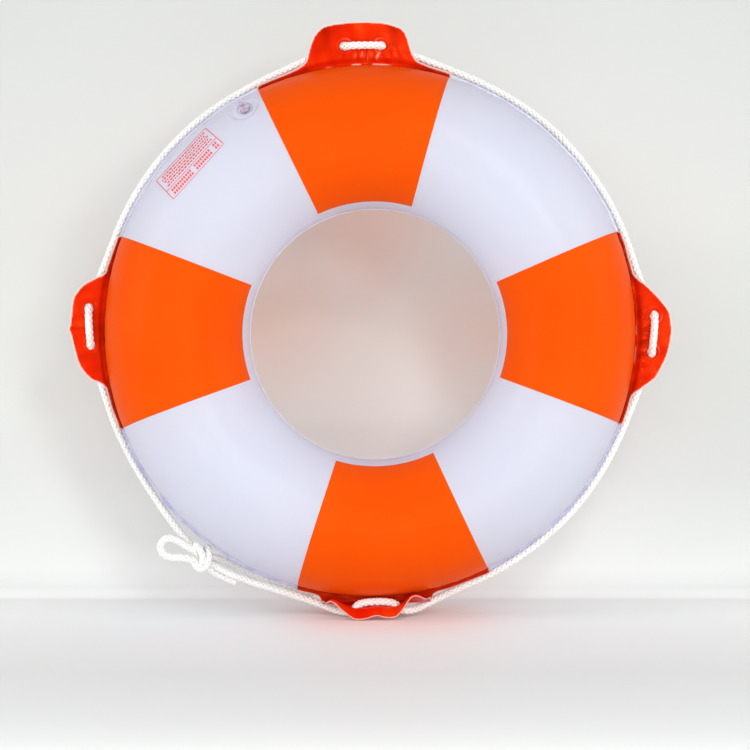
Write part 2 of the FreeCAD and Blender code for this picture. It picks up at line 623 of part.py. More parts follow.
# from the knot up to the left tab (falling angle)
line += [KNOT + V(-3.0, 1.5, 3.0), polar(296.5, 229.6, 5.5), polar(291.5, 222.5, 6.5), polar(288.0, 212.0, 5.6),
         polar(288.8, 201.5, 5.4), at_tab(TL, 62.0, 283.5, 6.0)]
line += lace(TL, HL, -1)
# left tab to top tab
line += [at_tab(TL, -64.0, 283.0, 5.8), polar(288.9, 153.6, 5.3), polar(288.5, 141.4, 5.2),
         polar(288.9, 129.3, 5.3), polar(288.6, 117.4, 5.2), at_tab(TT, 66.0, 285.5, 5.8)]
line += lace(TT, HT, -1)
# top tab to right tab
line += [at_tab(TT, -66.0, 285.5, 5.8), polar(288.7, 65.5, 5.2), polar(289.3, 53.2, 5.3),
         polar(289.0, 41.0, 5.2), polar(288.6, 28.8, 5.3), polar(288.6, 20.0, 5.4), at_tab(TR, 59.0, 284.6, 6.0)]
line += lace(TR, HR, -1)
# right tab to bottom tab
line += [at_tab(TR, -62.0, 284.0, 5.8), polar(288.4, -26.0, 5.3), polar(288.8, -38.2, 5.2),
         polar(288.4, -50.4, 5.3), polar(288.8, -62.0, 5.3), polar(289.3, -72.0, 6.6), at_tab(TB, 55.0, 290.5, 7.6)]
# under the bottom tab, up through its holes, along its upper face
line += [at_tab(TB, 38.0, 296.4, -6.5), at_tab(TB, 24.8, 296.3, -16.9), at_tab(TB, 16.0, 283.6, -17.3),
         at_tab(TB, -16.0, 283.6, -17.3), at_tab(TB, -24.8, 296.3, -16.9), at_tab(TB, -38.0, 296.4, -6.5)]
# and back to the knot
line += [at_tab(TB, -55.0, 290.8, 7.6), polar(291.5, 253.5, 6.0), polar(295.5, 244.0, 5.0),
         polar(299.0, 237.5, 3.0), KNOT + V(5.5, 0.5, -4.0)]
cord("grab_line", line, DIA)

# slip loop, left of the knot
K = KNOT
loop = [K + V(-2.5, -1.0, 3.5), K + V(-12.0, -2.5, 9.5), K + V(-24.5, -4.0, 17.5), K + V(-36.0, -5.0, 21.5),
        K + V(-43.8, -5.0, 14.5), K + V(-42.6, -5.0, 4.5), K + V(-32.5, -4.5, -0.8), K + V(-20.0, -3.5, -0.2),
        K + V(-10.0, -2.0, -3.0), K + V(-1.5, -0.5, -6.0)]
cord("slip_loop", loop, DIA)

# the two ends of the line out of the knot: a long one behind the ring's edge, and a stub
tail = [K + V(3.5, 3.0, 1.0), K + V(15.5, 9.5, -1.5), K + V(38.0, 16.0, -12.5), K + V(63.0, 18.0, -25.0),
        K + V(92.0, 18.0, -33.0), K + V(117.0, 18.0, -41.5)]
cord("long_tail", tail, DIA)
stub = [K + V(3.0, 1.5, -9.0), K + V(13.0, 5.0, -17.5), K + V(24.5, 7.5, -22.5), K + V(35.5, 8.0, -27.5)]
cord("short_tail", stub, DIA)

knot = doc.addObject("Part::Ellipsoid", "line_knot")
knot.Radius1 = 15.0
knot.Radius2 = 10.5
knot.Radius3 = 10.0
knot.Angle1 = -90
knot.Angle2 = 90
knot.Angle3 = 360
knot.Placement = FreeCAD.Placement(K, FreeCAD.Rotation(V(0, 0, 1), V(0, 1, 0), V(0, 0, 1), "ZXY"))
keep(knot, "line_knot")

# ---------------------------------------------------------------- check and write
doc.recompute()
bad = []
for obj in doc.Objects:
    if any(flag in obj.State for flag in ("Invalid", "Error")):
        bad.append((obj.Name, obj.State))
for obj in PARTS:
    if obj.Shape.isNull() or not obj.Shape.isValid() or not obj.Shape.Solids:
        bad.append((obj.Label, "shape"))
if bad:
    raise RuntimeError("not good: %s" % bad)
os.makedirs("parts", exist_ok=True)
box = FreeCAD.BoundBox()
for obj in PARTS:
    obj.Shape.exportStep("parts/%s.step" % obj.Label)
    b = obj.Shape.BoundBox
    box.add(b)
    print("%-20s solids %d  vol %.1f  x %.1f..%.1f y %.1f..%.1f z %.1f..%.1f" % (
        obj.Label, len(obj.Shape.Solids), obj.Shape.Volume, b.XMin, b.XMax, b.YMin, b.YMax, b.ZMin, b.ZMax))
print("box", box)
hinge_z = dim("stem_out") + 0.38
print("valve origin", tuple(round(c, 4) for c in v_org), "axis", tuple(round(c, 6) for c in v_axis),
      "across", tuple(round(c, 6) for c in v_y))
print("plug hinge", tuple(round(c, 4) for c in VALVE.multVec(V(-dim("hinge_off") - 0.2, 0, hinge_z))))
print("flap hinge", tuple(round(c, 4) for c in VALVE.multVec(V(4.3, 0, -dim("stem_in") - 0.3))))
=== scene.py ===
import math

import bpy
import numpy as np
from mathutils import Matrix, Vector, geometry


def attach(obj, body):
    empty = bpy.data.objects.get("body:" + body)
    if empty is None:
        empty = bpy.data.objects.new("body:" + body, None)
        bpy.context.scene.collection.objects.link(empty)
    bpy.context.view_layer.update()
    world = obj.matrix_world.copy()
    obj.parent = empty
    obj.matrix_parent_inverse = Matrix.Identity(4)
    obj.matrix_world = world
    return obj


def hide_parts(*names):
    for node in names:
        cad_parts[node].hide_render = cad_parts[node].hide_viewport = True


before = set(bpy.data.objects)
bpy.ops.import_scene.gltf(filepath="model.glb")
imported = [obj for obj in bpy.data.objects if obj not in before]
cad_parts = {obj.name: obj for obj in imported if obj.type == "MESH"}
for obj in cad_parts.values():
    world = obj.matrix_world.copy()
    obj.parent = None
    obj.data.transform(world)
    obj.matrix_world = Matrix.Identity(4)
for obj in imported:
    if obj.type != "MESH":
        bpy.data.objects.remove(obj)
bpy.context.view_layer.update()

# Ring lifebuoy: the looks.  Lengths below are in millimetres unless a name ends in _m.
# The ring's axis lies along Y, its front faces -Y, +Z is up, and the floor is z = 0.
# Tube angle 0 is the outer seam, 90 degrees the crown and 180 the inner seam.

MM = 0.001
CX, CZ = -0.32, 302.47
RM, RT = 206.5, 73.5
HOLE_X, HOLE_Z = 5.3, -3.2
SECTORS = {
    # name: (low edge, high edge, low edge's change inwards, high edge's change inwards)
    "top": (72.55, 114.85, 1.3, 0.4),
    "left": (159.25, 201.55, -0.9, -1.4),
    "bottom": (254.2, 296.5, -1.2, -0.3),
    "right": (-20.45, 21.85, 1.3, 1.3),
}
VALVE_O = np.array([-130.2679, -40.9312, 532.1522])
VALVE_A = np.array([-0.316524, -0.766044, 0.559454])
VALVE_S = np.array([-0.377218, 0.642788, 0.666731])
VALVE_C = np.array([0.870356, 0.0, 0.492424])
rng = np.random.default_rng(20)


def rad(d):
    return np.asarray(d) * math.pi / 180.0


def smooth(x, lo, hi):
    t = np.clip((np.asarray(x, float) - lo) / (hi - lo), 0.0, 1.0)
    return t * t * (3 - 2 * t)


def waves(rng_, low, high, count, power=0.0):
    """A seeded sum of sines round the ring; returns a function of the angle in radians."""
    n = rng_.integers(low, high, count)
    ph = rng_.uniform(0, 2 * math.pi, count)
    am = rng_.uniform(0.4, 1.0, count) / np.maximum(n, 1) ** power
    am = am / np.sqrt((am**2).sum())

    def f(a):
        a = np.asarray(a, float)
        out = np.zeros_like(a)
        for k in range(count):
            out = out + am[k] * np.sin(n[k] * a + ph[k])
        return out

    return f


# ------------------------------------------------------------------ mesh making
def make(name, verts, faces, mats, body="ring", uv=None, attrs=None, face_mat=None):
    me = bpy.data.meshes.new(name)
    v = np.asarray(verts, float) * MM
    me.from_pydata(v.tolist(), [], [list(map(int, f)) for f in faces])
    me.update()
    for m in mats if isinstance(mats, (list, tuple)) else [mats]:
        me.materials.append(m)
    me.polygons.foreach_set("use_smooth", [True] * len(me.polygons))
    if face_mat is not None:
        me.polygons.foreach_set("material_index", list(map(int, face_mat)))
    if uv is not None:
        layer = me.uv_layers.new(name="UVMap")
        idx = np.zeros(len(me.loops), np.int32)
        me.loops.foreach_get("vertex_index", idx)
        layer.data.foreach_set("uv", np.asarray(uv, np.float32)[idx].ravel())
    for key, val in (attrs or {}).items():
        at = me.attributes.new(key, "FLOAT", "POINT")
        at.data.foreach_set("value", np.asarray(val, np.float32))
    ob = bpy.data.objects.new(name, me)
    bpy.context.scene.collection.objects.link(ob)
    if body:
        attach(ob, body)
    return ob


def grid(nu, nv, wrap_u=False, wrap_v=False, flip=False):
    i = np.arange(nu if wrap_u else nu - 1)
    j = np.arange(nv if wrap_v else nv - 1)
    I, J = np.meshgrid(i, j, indexing="ij")
    I2, J2 = (I + 1) % nu, (J + 1) % nv
    f = np.stack([I * nv + J, I2 * nv + J, I2 * nv + J2, I * nv + J2], -1).reshape(-1, 4)
    return f[:, ::-1] if flip else f


# ------------------------------------------------------------------ materials
def new_mat(name):
    m = bpy.data.materials.new(name)
    m.use_nodes = True
    nt = m.node_tree
    nt.nodes.clear()
    out = nt.nodes.new("ShaderNodeOutputMaterial")
    p = nt.nodes.new("ShaderNodeBsdfPrincipled")
    nt.links.new(p.outputs[0], out.inputs[0])
    return m, nt, p, out


def node(nt, kind, **kw):
    n = nt.nodes.new(kind)
    for k, v in kw.items():
        if k.startswith("in_"):
            n.inputs[k[3:].replace("_", " ")].default_value = v
        else:
            setattr(n, k, v)
    return n


def ramp(nt, src, stops, kind="LINEAR"):
    r = nt.nodes.new("ShaderNodeValToRGB")
    r.color_ramp.interpolation = kind
    el = r.color_ramp.elements
    el[0].position, el[0].color = stops[0][0], (*stops[0][1], 1)
    el[1].position, el[1].color = stops[-1][0], (*stops[-1][1], 1)
    for pos, col in stops[1:-1]:
        e = el.new(pos)
        e.color = (*col, 1)
    nt.links.new(src, r.inputs[0])
    return r.outputs[0]


def noise(nt, vec, scale, detail=3.0, rough=0.5):
    n = node(nt, "ShaderNodeTexNoise")
    n.inputs["Scale"].default_value = scale
    n.inputs["Detail"].default_value = detail
    n.inputs["Roughness"].default_value = rough
    nt.links.new(vec, n.inputs["Vector"])
    return n.outputs["Fac"]


def remap(nt, src, a, b):
    n = node(nt, "ShaderNodeMapRange")
    n.inputs["To Min"].default_value = a
    n.inputs["To Max"].default_value = b
    nt.links.new(src, n.inputs["Value"])
    return n.outputs["Result"]


def bump(nt, height, distance, strength=1.0, after=None):
    b = node(nt, "ShaderNodeBump")
    b.inputs["Strength"].default_value = strength
    b.inputs["Distance"].default_value = distance
    nt.links.new(height, b.inputs["Height"])
    if after is not None:
        nt.links.new(after, b.inputs["Normal"])
    return b.outputs["Normal"]


def math_node(nt, op, a, b=None):
    n = node(nt, "ShaderNodeMath", operation=op)
    for k, v in enumerate((a, b)):
        if v is None:
            continue
        if isinstance(v, (int, float)):
            n.inputs[k].default_value = v
        else:
            nt.links.new(v, n.inputs[k])
    return n.outputs[0]


def translucent(nt, p, out, colour, share):
    """Lets a share of the light through the film, as thin PVC does."""
    t = node(nt, "ShaderNodeBsdfTranslucent")
    if isinstance(colour, (tuple, list)):
        t.inputs["Color"].default_value = (*colour, 1)
    else:
        nt.links.new(colour, t.inputs["Color"])
    mix = node(nt, "ShaderNodeMixShader")
    mix.inputs[0].default_value = share
    nt.links.new(p.outputs[0], mix.inputs[1])
    nt.links.new(t.outputs[0], mix.inputs[2])
    nt.links.new(mix.outputs[0], out.inputs[0])


def white_film():
    m, nt, p, out = new_mat("white_film")
    tc = node(nt, "ShaderNodeTexCoord")
    v = tc.outputs["Object"]
    cloud = noise(nt, v, 9.0, 2.0)
    col = ramp(nt, cloud, [(0.3, (0.795, 0.86, 0.97)), (0.7, (0.82, 0.885, 0.99))])
    nt.links.new(col, p.inputs["Base Color"])
    r = remap(nt, noise(nt, v, 46.0, 3.0), 0.26, 0.36)
    nt.links.new(r, p.inputs["Roughness"])
    p.inputs["IOR"].default_value = 1.5
    p.inputs["Specular IOR Level"].default_value = 0.42
    fine = noise(nt, v, 1500.0, 1.0)
    soft = noise(nt, v, 38.0, 2.0)
    nt.links.new(bump(nt, fine, 0.00006, 0.35, bump(nt, soft, 0.0007, 0.35)), p.inputs["Normal"])
    translucent(nt, p, out, (0.95, 0.955, 0.985), 0.66)
    return m


def orange_print():
    m, nt, p, out = new_mat("orange_print")
    tc = node(nt, "ShaderNodeTexCoord")
    v = tc.outputs["Object"]
    uv = tc.outputs["UV"]
    sep = node(nt, "ShaderNodeSeparateXYZ")
    nt.links.new(uv, sep.inputs[0])
    k = 2 * math.pi / 0.0030
    plus = math_node(nt, "ADD", sep.outputs[0], sep.outputs[1])
    minus = math_node(nt, "SUBTRACT", sep.outputs[0], sep.outputs[1])
    a = math_node(nt, "SINE", math_node(nt, "MULTIPLY", plus, k))
    b = math_node(nt, "SINE", math_node(nt, "MULTIPLY", minus, k))
    # an over-and-under weave, pressed into the film on the slant
    weave = math_node(nt, "MULTIPLY", a, b)
    weave = remap(nt, math_node(nt, "ADD", math_node(nt, "MULTIPLY", weave, 0.5), 0.5), 0.0, 1.0)
    cloud = noise(nt, v, 14.0, 3.0)
    base = ramp(nt, cloud, [(0.25, (0.985, 0.104, 0.003)), (0.75, (0.995, 0.122, 0.0045))])
    # painted shade in the weave's grooves, which are coloured a little darker
    dark = ramp(nt, weave, [(0.0, (0.93, 0.86, 0.8)), (1.0, (1.0, 1.0, 1.0))])
    mx = node(nt, "ShaderNodeMix", data_type="RGBA", blend_type="MULTIPLY")
    mx.inputs[0].default_value = 1.0
    nt.links.new(base, mx.inputs[6])
    nt.links.new(dark, mx.inputs[7])
    nt.links.new(mx.outputs[2], p.inputs["Base Color"])
    r = remap(nt, noise(nt, v, 60.0, 3.0), 0.30, 0.42)
    nt.links.new(r, p.inputs["Roughness"])
    p.inputs["IOR"].default_value = 1.28
    p.inputs["Specular IOR Level"].default_value = 0.5
    p.inputs["Specular Tint"].default_value = (1.0, 0.42, 0.10, 1)
    # painted glow: a faint red emission keeps the orange print bright where it turns away from the lamps
    p.inputs["Emission Color"].default_value = (1.0, 0.03, 0.0, 1)
    p.inputs["Emission Strength"].default_value = 0.15
    soft = noise(nt, v, 38.0, 2.0)
    nt.links.new(bump(nt, weave, 0.00010, 0.5, bump(nt, soft, 0.0007, 0.3)), p.inputs["Normal"])
    translucent(nt, p, out, (0.995, 0.24, 0.006), 0.50)
    return m


def tab_pvc():
    m, nt, p, out = new_mat("tab_pvc")
    tc = node(nt, "ShaderNodeTexCoord")
    v = tc.outputs["Object"]
    at = node(nt, "ShaderNodeAttribute", attribute_name="edge")
    cloud = noise(nt, v, 32.0, 3.0)
    base = ramp(nt, cloud, [(0.25, (0.73, 0.012, 0.0006)), (0.75, (0.82, 0.024, 0.0010))])
    # painted shade and painted highlight: the tone attribute (0.5 plain) darkens the red in creases, by the tube and
    # round the holes, and lightens it on pucker crests; it also carries some random mottling
    tn = node(nt, "ShaderNodeAttribute", attribute_name="tone")
    shade = ramp(nt, tn.outputs["Fac"], [(0.0, (0.40, 0.10, 0.10)), (0.5, (1.0, 1.0, 1.0)), (0.75, (1.0, 3.2, 5.0)), (1.0, (1.0, 8.0, 30.0))])
    sh = node(nt, "ShaderNodeMix", data_type="RGBA", blend_type="MULTIPLY")
    sh.inputs[0].default_value = 1.0
    nt.links.new(base, sh.inputs[6])
    nt.links.new(shade, sh.inputs[7])
    base = sh.outputs[2]
    # the pale rim colour at the cut edge, also used for painted highlights where the edge value is lowered
    rim = ramp(nt, at.outputs["Fac"], [(0.0, (1, 1, 1)), (0.42, (0.85, 0.85, 0.85)), (0.95, (0, 0, 0))])
    mx = node(nt, "ShaderNodeMix", data_type="RGBA")
    nt.links.new(rim, mx.inputs[0])
    nt.links.new(base, mx.inputs[6])
    mx.inputs[7].default_value = (0.97, 0.80, 0.72, 1)
    nt.links.new(mx.outputs[2], p.inputs["Base Color"])
    r = remap(nt, noise(nt, v, 120.0, 3.0), 0.16, 0.26)
    nt.links.new(r, p.inputs["Roughness"])
    p.inputs["IOR"].default_value = 1.4
    p.inputs["Specular IOR Level"].default_value = 0.5
    p.inputs["Specular Tint"].default_value = (1.0, 0.24, 0.05, 1)
    soft = noise(nt, v, 130.0, 2.0)
    fine = noise(nt, v, 1600.0, 1.0)
    nt.links.new(bump(nt, fine, 0.00005, 0.4, bump(nt, soft, 0.0006, 0.4)), p.inputs["Normal"])
    translucent(nt, p, out, (0.98, 0.06, 0.002), 0.14)
    return m


def weld_pvc(name="weld_pvc", deep=(0.50, 0.48, 0.72), pale=(0.74, 0.72, 0.88)):
    m, nt, p, out = new_mat(name)
    tc = node(nt, "ShaderNodeTexCoord")
    v = tc.outputs["Object"]
    cloud = noise(nt, v, 60.0, 3.0)
    col = ramp(nt, cloud, [(0.3, deep), (0.7, pale)])
    nt.links.new(col, p.inputs["Base Color"])
    p.inputs["Roughness"].default_value = 0.18
    p.inputs["Specular IOR Level"].default_value = 0.5
    nt.links.new(bump(nt, noise(nt, v, 300.0, 2.0), 0.0004, 0.5), p.inputs["Normal"])
    tr = node(nt, "ShaderNodeBsdfTransparent")
    tr.inputs[0].default_value = (0.86, 0.86, 0.97, 1)
    mix = node(nt, "ShaderNodeMixShader")
    mix.inputs[0].default_value = 0.38
    nt.links.new(p.outputs[0], mix.inputs[1])
    nt.links.new(tr.outputs[0], mix.inputs[2])
    nt.links.new(mix.outputs[0], out.inputs[0])
    return m


def clear_pvc():
    m, nt, p, out = new_mat("clear_pvc")
    tc = node(nt, "ShaderNodeTexCoord")
    v = tc.outputs["Object"]
    cloud = noise(nt, v, 260.0, 3.0)
    col = ramp(nt, cloud, [(0.34, (0.42, 0.27, 0.30)), (0.5, (0.60, 0.49, 0.67)), (0.72, (0.80, 0.78, 0.93))])
    nt.links.new(col, p.inputs["Base Color"])
    p.inputs["Roughness"].default_value = 0.16
    p.inputs["IOR"].default_value = 1.5
    p.inputs["Transmission Weight"].default_value = 0.30
    p.inputs["Coat Weight"].default_value = 0.12
    p.inputs["Coat Roughness"].default_value = 0.1
    nt.links.new(bump(nt, noise(nt, v, 700.0, 2.0), 0.0003, 0.4), p.inputs["Normal"])
    return m


def rope_mat():
    m, nt, p, out = new_mat("rope")
    tc = node(nt, "ShaderNodeTexCoord")
    v = tc.outputs["Object"]
    # painted shade in the braid's grooves: the attribute (0 deep, 1 on top) darkens low points of the strands and the
    # core to a pinkish tan
    at = node(nt, "ShaderNodeAttribute", attribute_name="groove_shade")
    deep = ramp(nt, at.outputs["Fac"], [(0.0, (0.46, 0.35, 0.31)), (0.36, (0.80, 0.74, 0.71)), (0.58, (0.95, 0.935, 0.92)), (0.9, (0.985, 0.98, 0.97))])
    cloud = noise(nt, v, 420.0, 3.0)
    tone = ramp(nt, cloud, [(0.3, (0.93, 0.93, 0.905)), (0.7, (0.985, 0.985, 0.965))])
    mx = node(nt, "ShaderNodeMix", data_type="RGBA", blend_type="MULTIPLY")
    mx.inputs[0].default_value = 1.0
    nt.links.new(deep, mx.inputs[6])
    nt.links.new(tone, mx.inputs[7])
    nt.links.new(mx.outputs[2], p.inputs["Base Color"])
    p.inputs["Roughness"].default_value = 0.55
    p.inputs["Specular IOR Level"].default_value = 0.3
    p.inputs["Sheen Weight"].default_value = 0.25
    p.inputs["Sheen Roughness"].default_value = 0.4
    # fibres run along each strand: U goes round it, V along it
    sep = node(nt, "ShaderNodeSeparateXYZ")
    nt.links.new(tc.outputs["UV"], sep.inputs[0])
    wob = math_node(nt, "MULTIPLY", noise(nt, v, 900.0, 2.0), 2.2)
    fib = math_node(nt, "SINE", math_node(nt, "ADD", math_node(nt, "MULTIPLY", sep.outputs[0], 2 * math.pi * 14), wob))
    nt.links.new(bump(nt, fib, 0.00012, 0.55), p.inputs["Normal"])
    return m


def print_ink():
    m, nt, p, out = new_mat("print_ink")
    tc = node(nt, "ShaderNodeTexCoord")
    v = tc.outputs["Object"]
    col = ramp(nt, noise(nt, v, 500.0, 3.0), [(0.3, (0.74, 0.030, 0.028)), (0.7, (0.80, 0.09, 0.08))])
    nt.links.new(col, p.inputs["Base Color"])
    p.inputs["Roughness"].default_value = 0.4
    return m


def bead_mat():
    m, nt, p, out = new_mat("bead_pvc")
    tc = node(nt, "ShaderNodeTexCoord")
    v = tc.outputs["Object"]
    col = ramp(nt, noise(nt, v, 40.0, 3.0), [(0.3, (0.74, 0.745, 0.83)), (0.7, (0.80, 0.80, 0.88))])
    nt.links.new(col, p.inputs["Base Color"])
    p.inputs["Roughness"].default_value = 0.25
    nt.links.new(bump(nt, noise(nt, v, 260.0, 2.0), 0.0004, 0.4), p.inputs["Normal"])
    translucent(nt, p, out, (0.85, 0.8, 0.88), 0.25)
    return m


M_WHITE, M_ORANGE, M_TAB, M_WELD = white_film(), orange_print(), tab_pvc(), weld_pvc()
M_WELD2 = weld_pvc("weld_pvc_pale", (0.72, 0.71, 0.84), (0.84, 0.84, 0.93))
M_WELD3 = weld_pvc("valve_flange_pvc", (0.78, 0.78, 0.90), (0.87, 0.88, 0.97))
M_CLEAR, M_ROPE, M_INK, M_BEAD = clear_pvc(), rope_mat(), print_ink(), bead_mat()

# ------------------------------------------------------------------ the camera
D_m = 2.4
cam_data = bpy.data.cameras.new("camera")
cam = bpy.data.objects.new("camera", cam_data)
bpy.context.scene.collection.objects.link(cam)
f_px = 265.0 / math.tan(math.atan(0.2065 / D_m) + math.asin(0.0735 / math.hypot(0.2065, D_m)))
cam_data.sensor_width = 36.0
cam_data.lens = f_px * 36.0 / 750.0
cam.location = (0.005, -D_m, 0.300)
aim = Vector((0.005, 0.0, 0.256)) - cam.location
cam.rotation_euler = aim.to_track_quat("-Z", "Y").to_euler()
bpy.context.scene.camera = cam

# ------------------------------------------------------------------ the line
CEN = np.array([CX, 0.0, CZ])


def polar(r, deg, y):
    a = math.radians(deg)
    return CEN + np.array([r * math.cos(a), y, r * math.sin(a)])


def at_tab(mid, t, w, y):
    a = math.radians(mid)
    return CEN + np.array([w * math.cos(a) - t * math.sin(a), y, w * math.sin(a) + t * math.cos(a)])


def lace(mid, holes):
    (t1, w1), (t0, w0) = holes
    return [at_tab(mid, t1 + 5, w1, 7), at_tab(mid, t1 - 5, w1, -7), at_tab(mid, t0 + 5, w0, -7), at_tab(mid, t0 - 5, w0, 7)]


K = CEN + np.array([-178.5, 1.5, -239.6])
TL, TT, TR, TB = 179.4, 91.8, -0.9, 271.4
# each tab's two holes: (along the rim, outwards)
HOLES = {"top": [(17.2, 301.2), (-21.0, 300.7)], "left": [(17.4, 295.4), (-21.0, 297.5)],
         "right": [(21.0, 300.6), (-17.4, 298.6)]}


def k(x, y, z):
    return K + np.array([x, y, z])


LINE = (
    [k(-3, 1.5, 3), polar(296.5, 229.6, 5.5), polar(291.5, 222.5, 6.5), polar(288.0, 212.0, 5.6),
     polar(288.8, 201.5, 5.4), at_tab(TL, 62.0, 283.5, 6.0)]
    + lace(TL, HOLES["left"])
    + [at_tab(TL, -64.0, 283.0, 5.8), polar(288.9, 153.6, 5.3), polar(288.5, 141.4, 5.2), polar(288.9, 129.3, 5.3),
       polar(288.6, 117.4, 5.2), at_tab(TT, 66.0, 285.5, 5.8)]
    + lace(TT, HOLES["top"])
    + [at_tab(TT, -66.0, 285.5, 5.8), polar(288.7, 65.5, 5.2), polar(289.3, 53.2, 5.3), polar(289.0, 41.0, 5.2),
       polar(288.6, 28.8, 5.3), polar(288.6, 20.0, 5.4), at_tab(TR, 59.0, 284.6, 6.0)]
    + lace(TR, HOLES["right"])
    + [at_tab(TR, -62.0, 284.0, 5.8), polar(288.4, -26.0, 5.3), polar(288.8, -38.2, 5.2), polar(288.4, -50.4, 5.3),
       polar(288.8, -62.0, 5.3), polar(289.3, -72.0, 6.6), at_tab(TB, 55.0, 290.5, 7.6)]
    + [at_tab(TB, 38.0, 296.4, -6.5), at_tab(TB, 24.8, 294.9, -16.3), at_tab(TB, 18.6, 284.8, -17.9),
       at_tab(TB, -18.6, 284.8, -17.9), at_tab(TB, -24.8, 294.9, -16.3), at_tab(TB, -38.0, 296.4, -6.5)]
    + [at_tab(TB, -55.0, 290.8, 7.6), polar(291.5, 253.5, 6.0), polar(295.5, 244.0, 5.0), polar(299.0, 237.5, 3.0),
       k(5.5, 0.5, -4.0)]
)
LOOP = [k(-2.5, -1, 3.5), k(-12, -2.5, 9.5), k(-24.5, -4, 17.5), k(-36, -5, 21.5), k(-43.8, -5, 14.5),
        k(-42.6, -5, 4.5), k(-32.5, -4.5, -0.8), k(-20, -3.5, -0.2), k(-10, -2, -3), k(-1.5, -0.5, -6)]
LONG = [k(3.5, 3, 1), k(15.5, 9.5, -1.5), k(38, 16, -12.5), k(63, 18, -25), k(92, 18, -33), k(117, 18, -41.5)]
SHORT = [k(3, 1.5, -9), k(13, 5, -17.5), k(24.5, 7.5, -22.5), k(35.5, 8, -27.5)]
# The knot's own turns: in at the upper left, two turns round the standing parts, out at the lower right.
KNOT = [k(-1, 6.0, 6), k(-6.5, 3.5, 11.5), k(-6.0, -4.0, 13.0), k(-1.0, -8.2, 9.0), k(2.4, -9.0, 0.5), k(0.5, -7.0, -8.5),
        k(-4.0, -0.5, -12.5), k(-3.0, 6.5, -6.0), k(3.0, 7.5, 3.0), k(6.0, 3.0, 10.5), k(6.8, -4.2, 8.5),
        k(8.8, -7.2, 1.0), k(6.6, -7.0, -7.5), k(0.5, -4.5, -13.0), k(-6.0, -2.0, -10.0), k(-8.0, -2.5, -5.0)]


def route(points):
    """Points in millimetres along the smooth NURBS spline that these points control."""
    cu = bpy.data.curves.new("route", "CURVE")
    cu.dimensions = "3D"
    cu.resolution_u = 24
    sp = cu.splines.new("NURBS")
    sp.points.add(len(points) - 1)
    for q, p in zip(sp.points, points):
        q.co = (*(np.asarray(p) * MM), 1.0)
    sp.order_u = 3
    sp.use_endpoint_u = True
    sp.resolution_u = 24
    ob = bpy.data.objects.new("route", cu)
    me = bpy.data.meshes.new_from_object(ob)
    co = np.zeros(len(me.vertices) * 3)
    me.vertices.foreach_get("co", co)
    bpy.data.meshes.remove(me)
    bpy.data.objects.remove(ob)
    bpy.data.curves.remove(cu)
    co = co.reshape(-1, 3) / MM
    keep = np.r_[True, np.linalg.norm(np.diff(co, axis=0), axis=1) > 1e-6]
    return co[keep]


def even(co, step):
    d = np.r_[0, np.cumsum(np.linalg.norm(np.diff(co, axis=0), axis=1))]
    n = max(8, int(round(d[-1] / step)) + 1)
    s = np.linspace(0, d[-1], n)
    return s, np.stack([np.interp(s, d, co[:, i]) for i in range(3)], 1)


def frames(P):
    T = np.gradient(P, axis=0)
    T /= np.linalg.norm(T, axis=1)[:, None]
    a = np.array([0.0, 1.0, 0.0]) if abs(T[0][1]) < 0.8 else np.array([1.0, 0, 0])
    N = np.zeros_like(P)
    n = a - T[0] * (a @ T[0])
    N[0] = n / np.linalg.norm(n)
    for i in range(1, len(P)):
        v = P[i] - P[i - 1]
        c = v @ v
        if c < 1e-12:
            N[i] = N[i - 1]
            continue
        rl = N[i - 1] - (2 / c) * (v @ N[i - 1]) * v
        tl = T[i - 1] - (2 / c) * (v @ T[i - 1]) * v
        v2 = T[i] - tl
        c2 = v2 @ v2
        N[i] = rl - (2 / c2) * (v2 @ rl) * v2 if c2 > 1e-12 else rl
        N[i] /= np.linalg.norm(N[i])
    return T, N, np.cross(T, N)


def tube(P, side, up, wide, thick, sides=8, tip=1.0):
    """A closed oval tube; returns verts, faces, uv.  The ends are capped by a fan."""
    n = len(P)
    psi = np.arange(sides) * 2 * math.pi / sides
    cs, sn = np.cos(psi), np.sin(psi)
    wide = np.broadcast_to(wide, n)
    thick = np.broadcast_to(thick, n)
    V = P[:, None, :] + (wide[:, None] * cs)[..., None] * side[:, None, :] + (thick[:, None] * sn)[..., None] * up[:, None, :]
    V = V.reshape(-1, 3)
    F = grid(n, sides, wrap_v=True, flip=True).tolist()
    uv = np.stack([np.tile(psi / (2 * math.pi), n), np.repeat(np.arange(n), sides) * 0.05], 1)
    a, b = len(V), len(V) + 1
    V = np.vstack([V, P[0] - 0.0, P[-1] + 0.0])
    uv = np.vstack([uv, [0.5, 0], [0.5, n * 0.05]])
    for j in range(sides):
        F.append([a, j, (j + 1) % sides])
        F.append([b, (n - 1) * sides + (j + 1) % sides, (n - 1) * sides + j])
    return V, F, uv


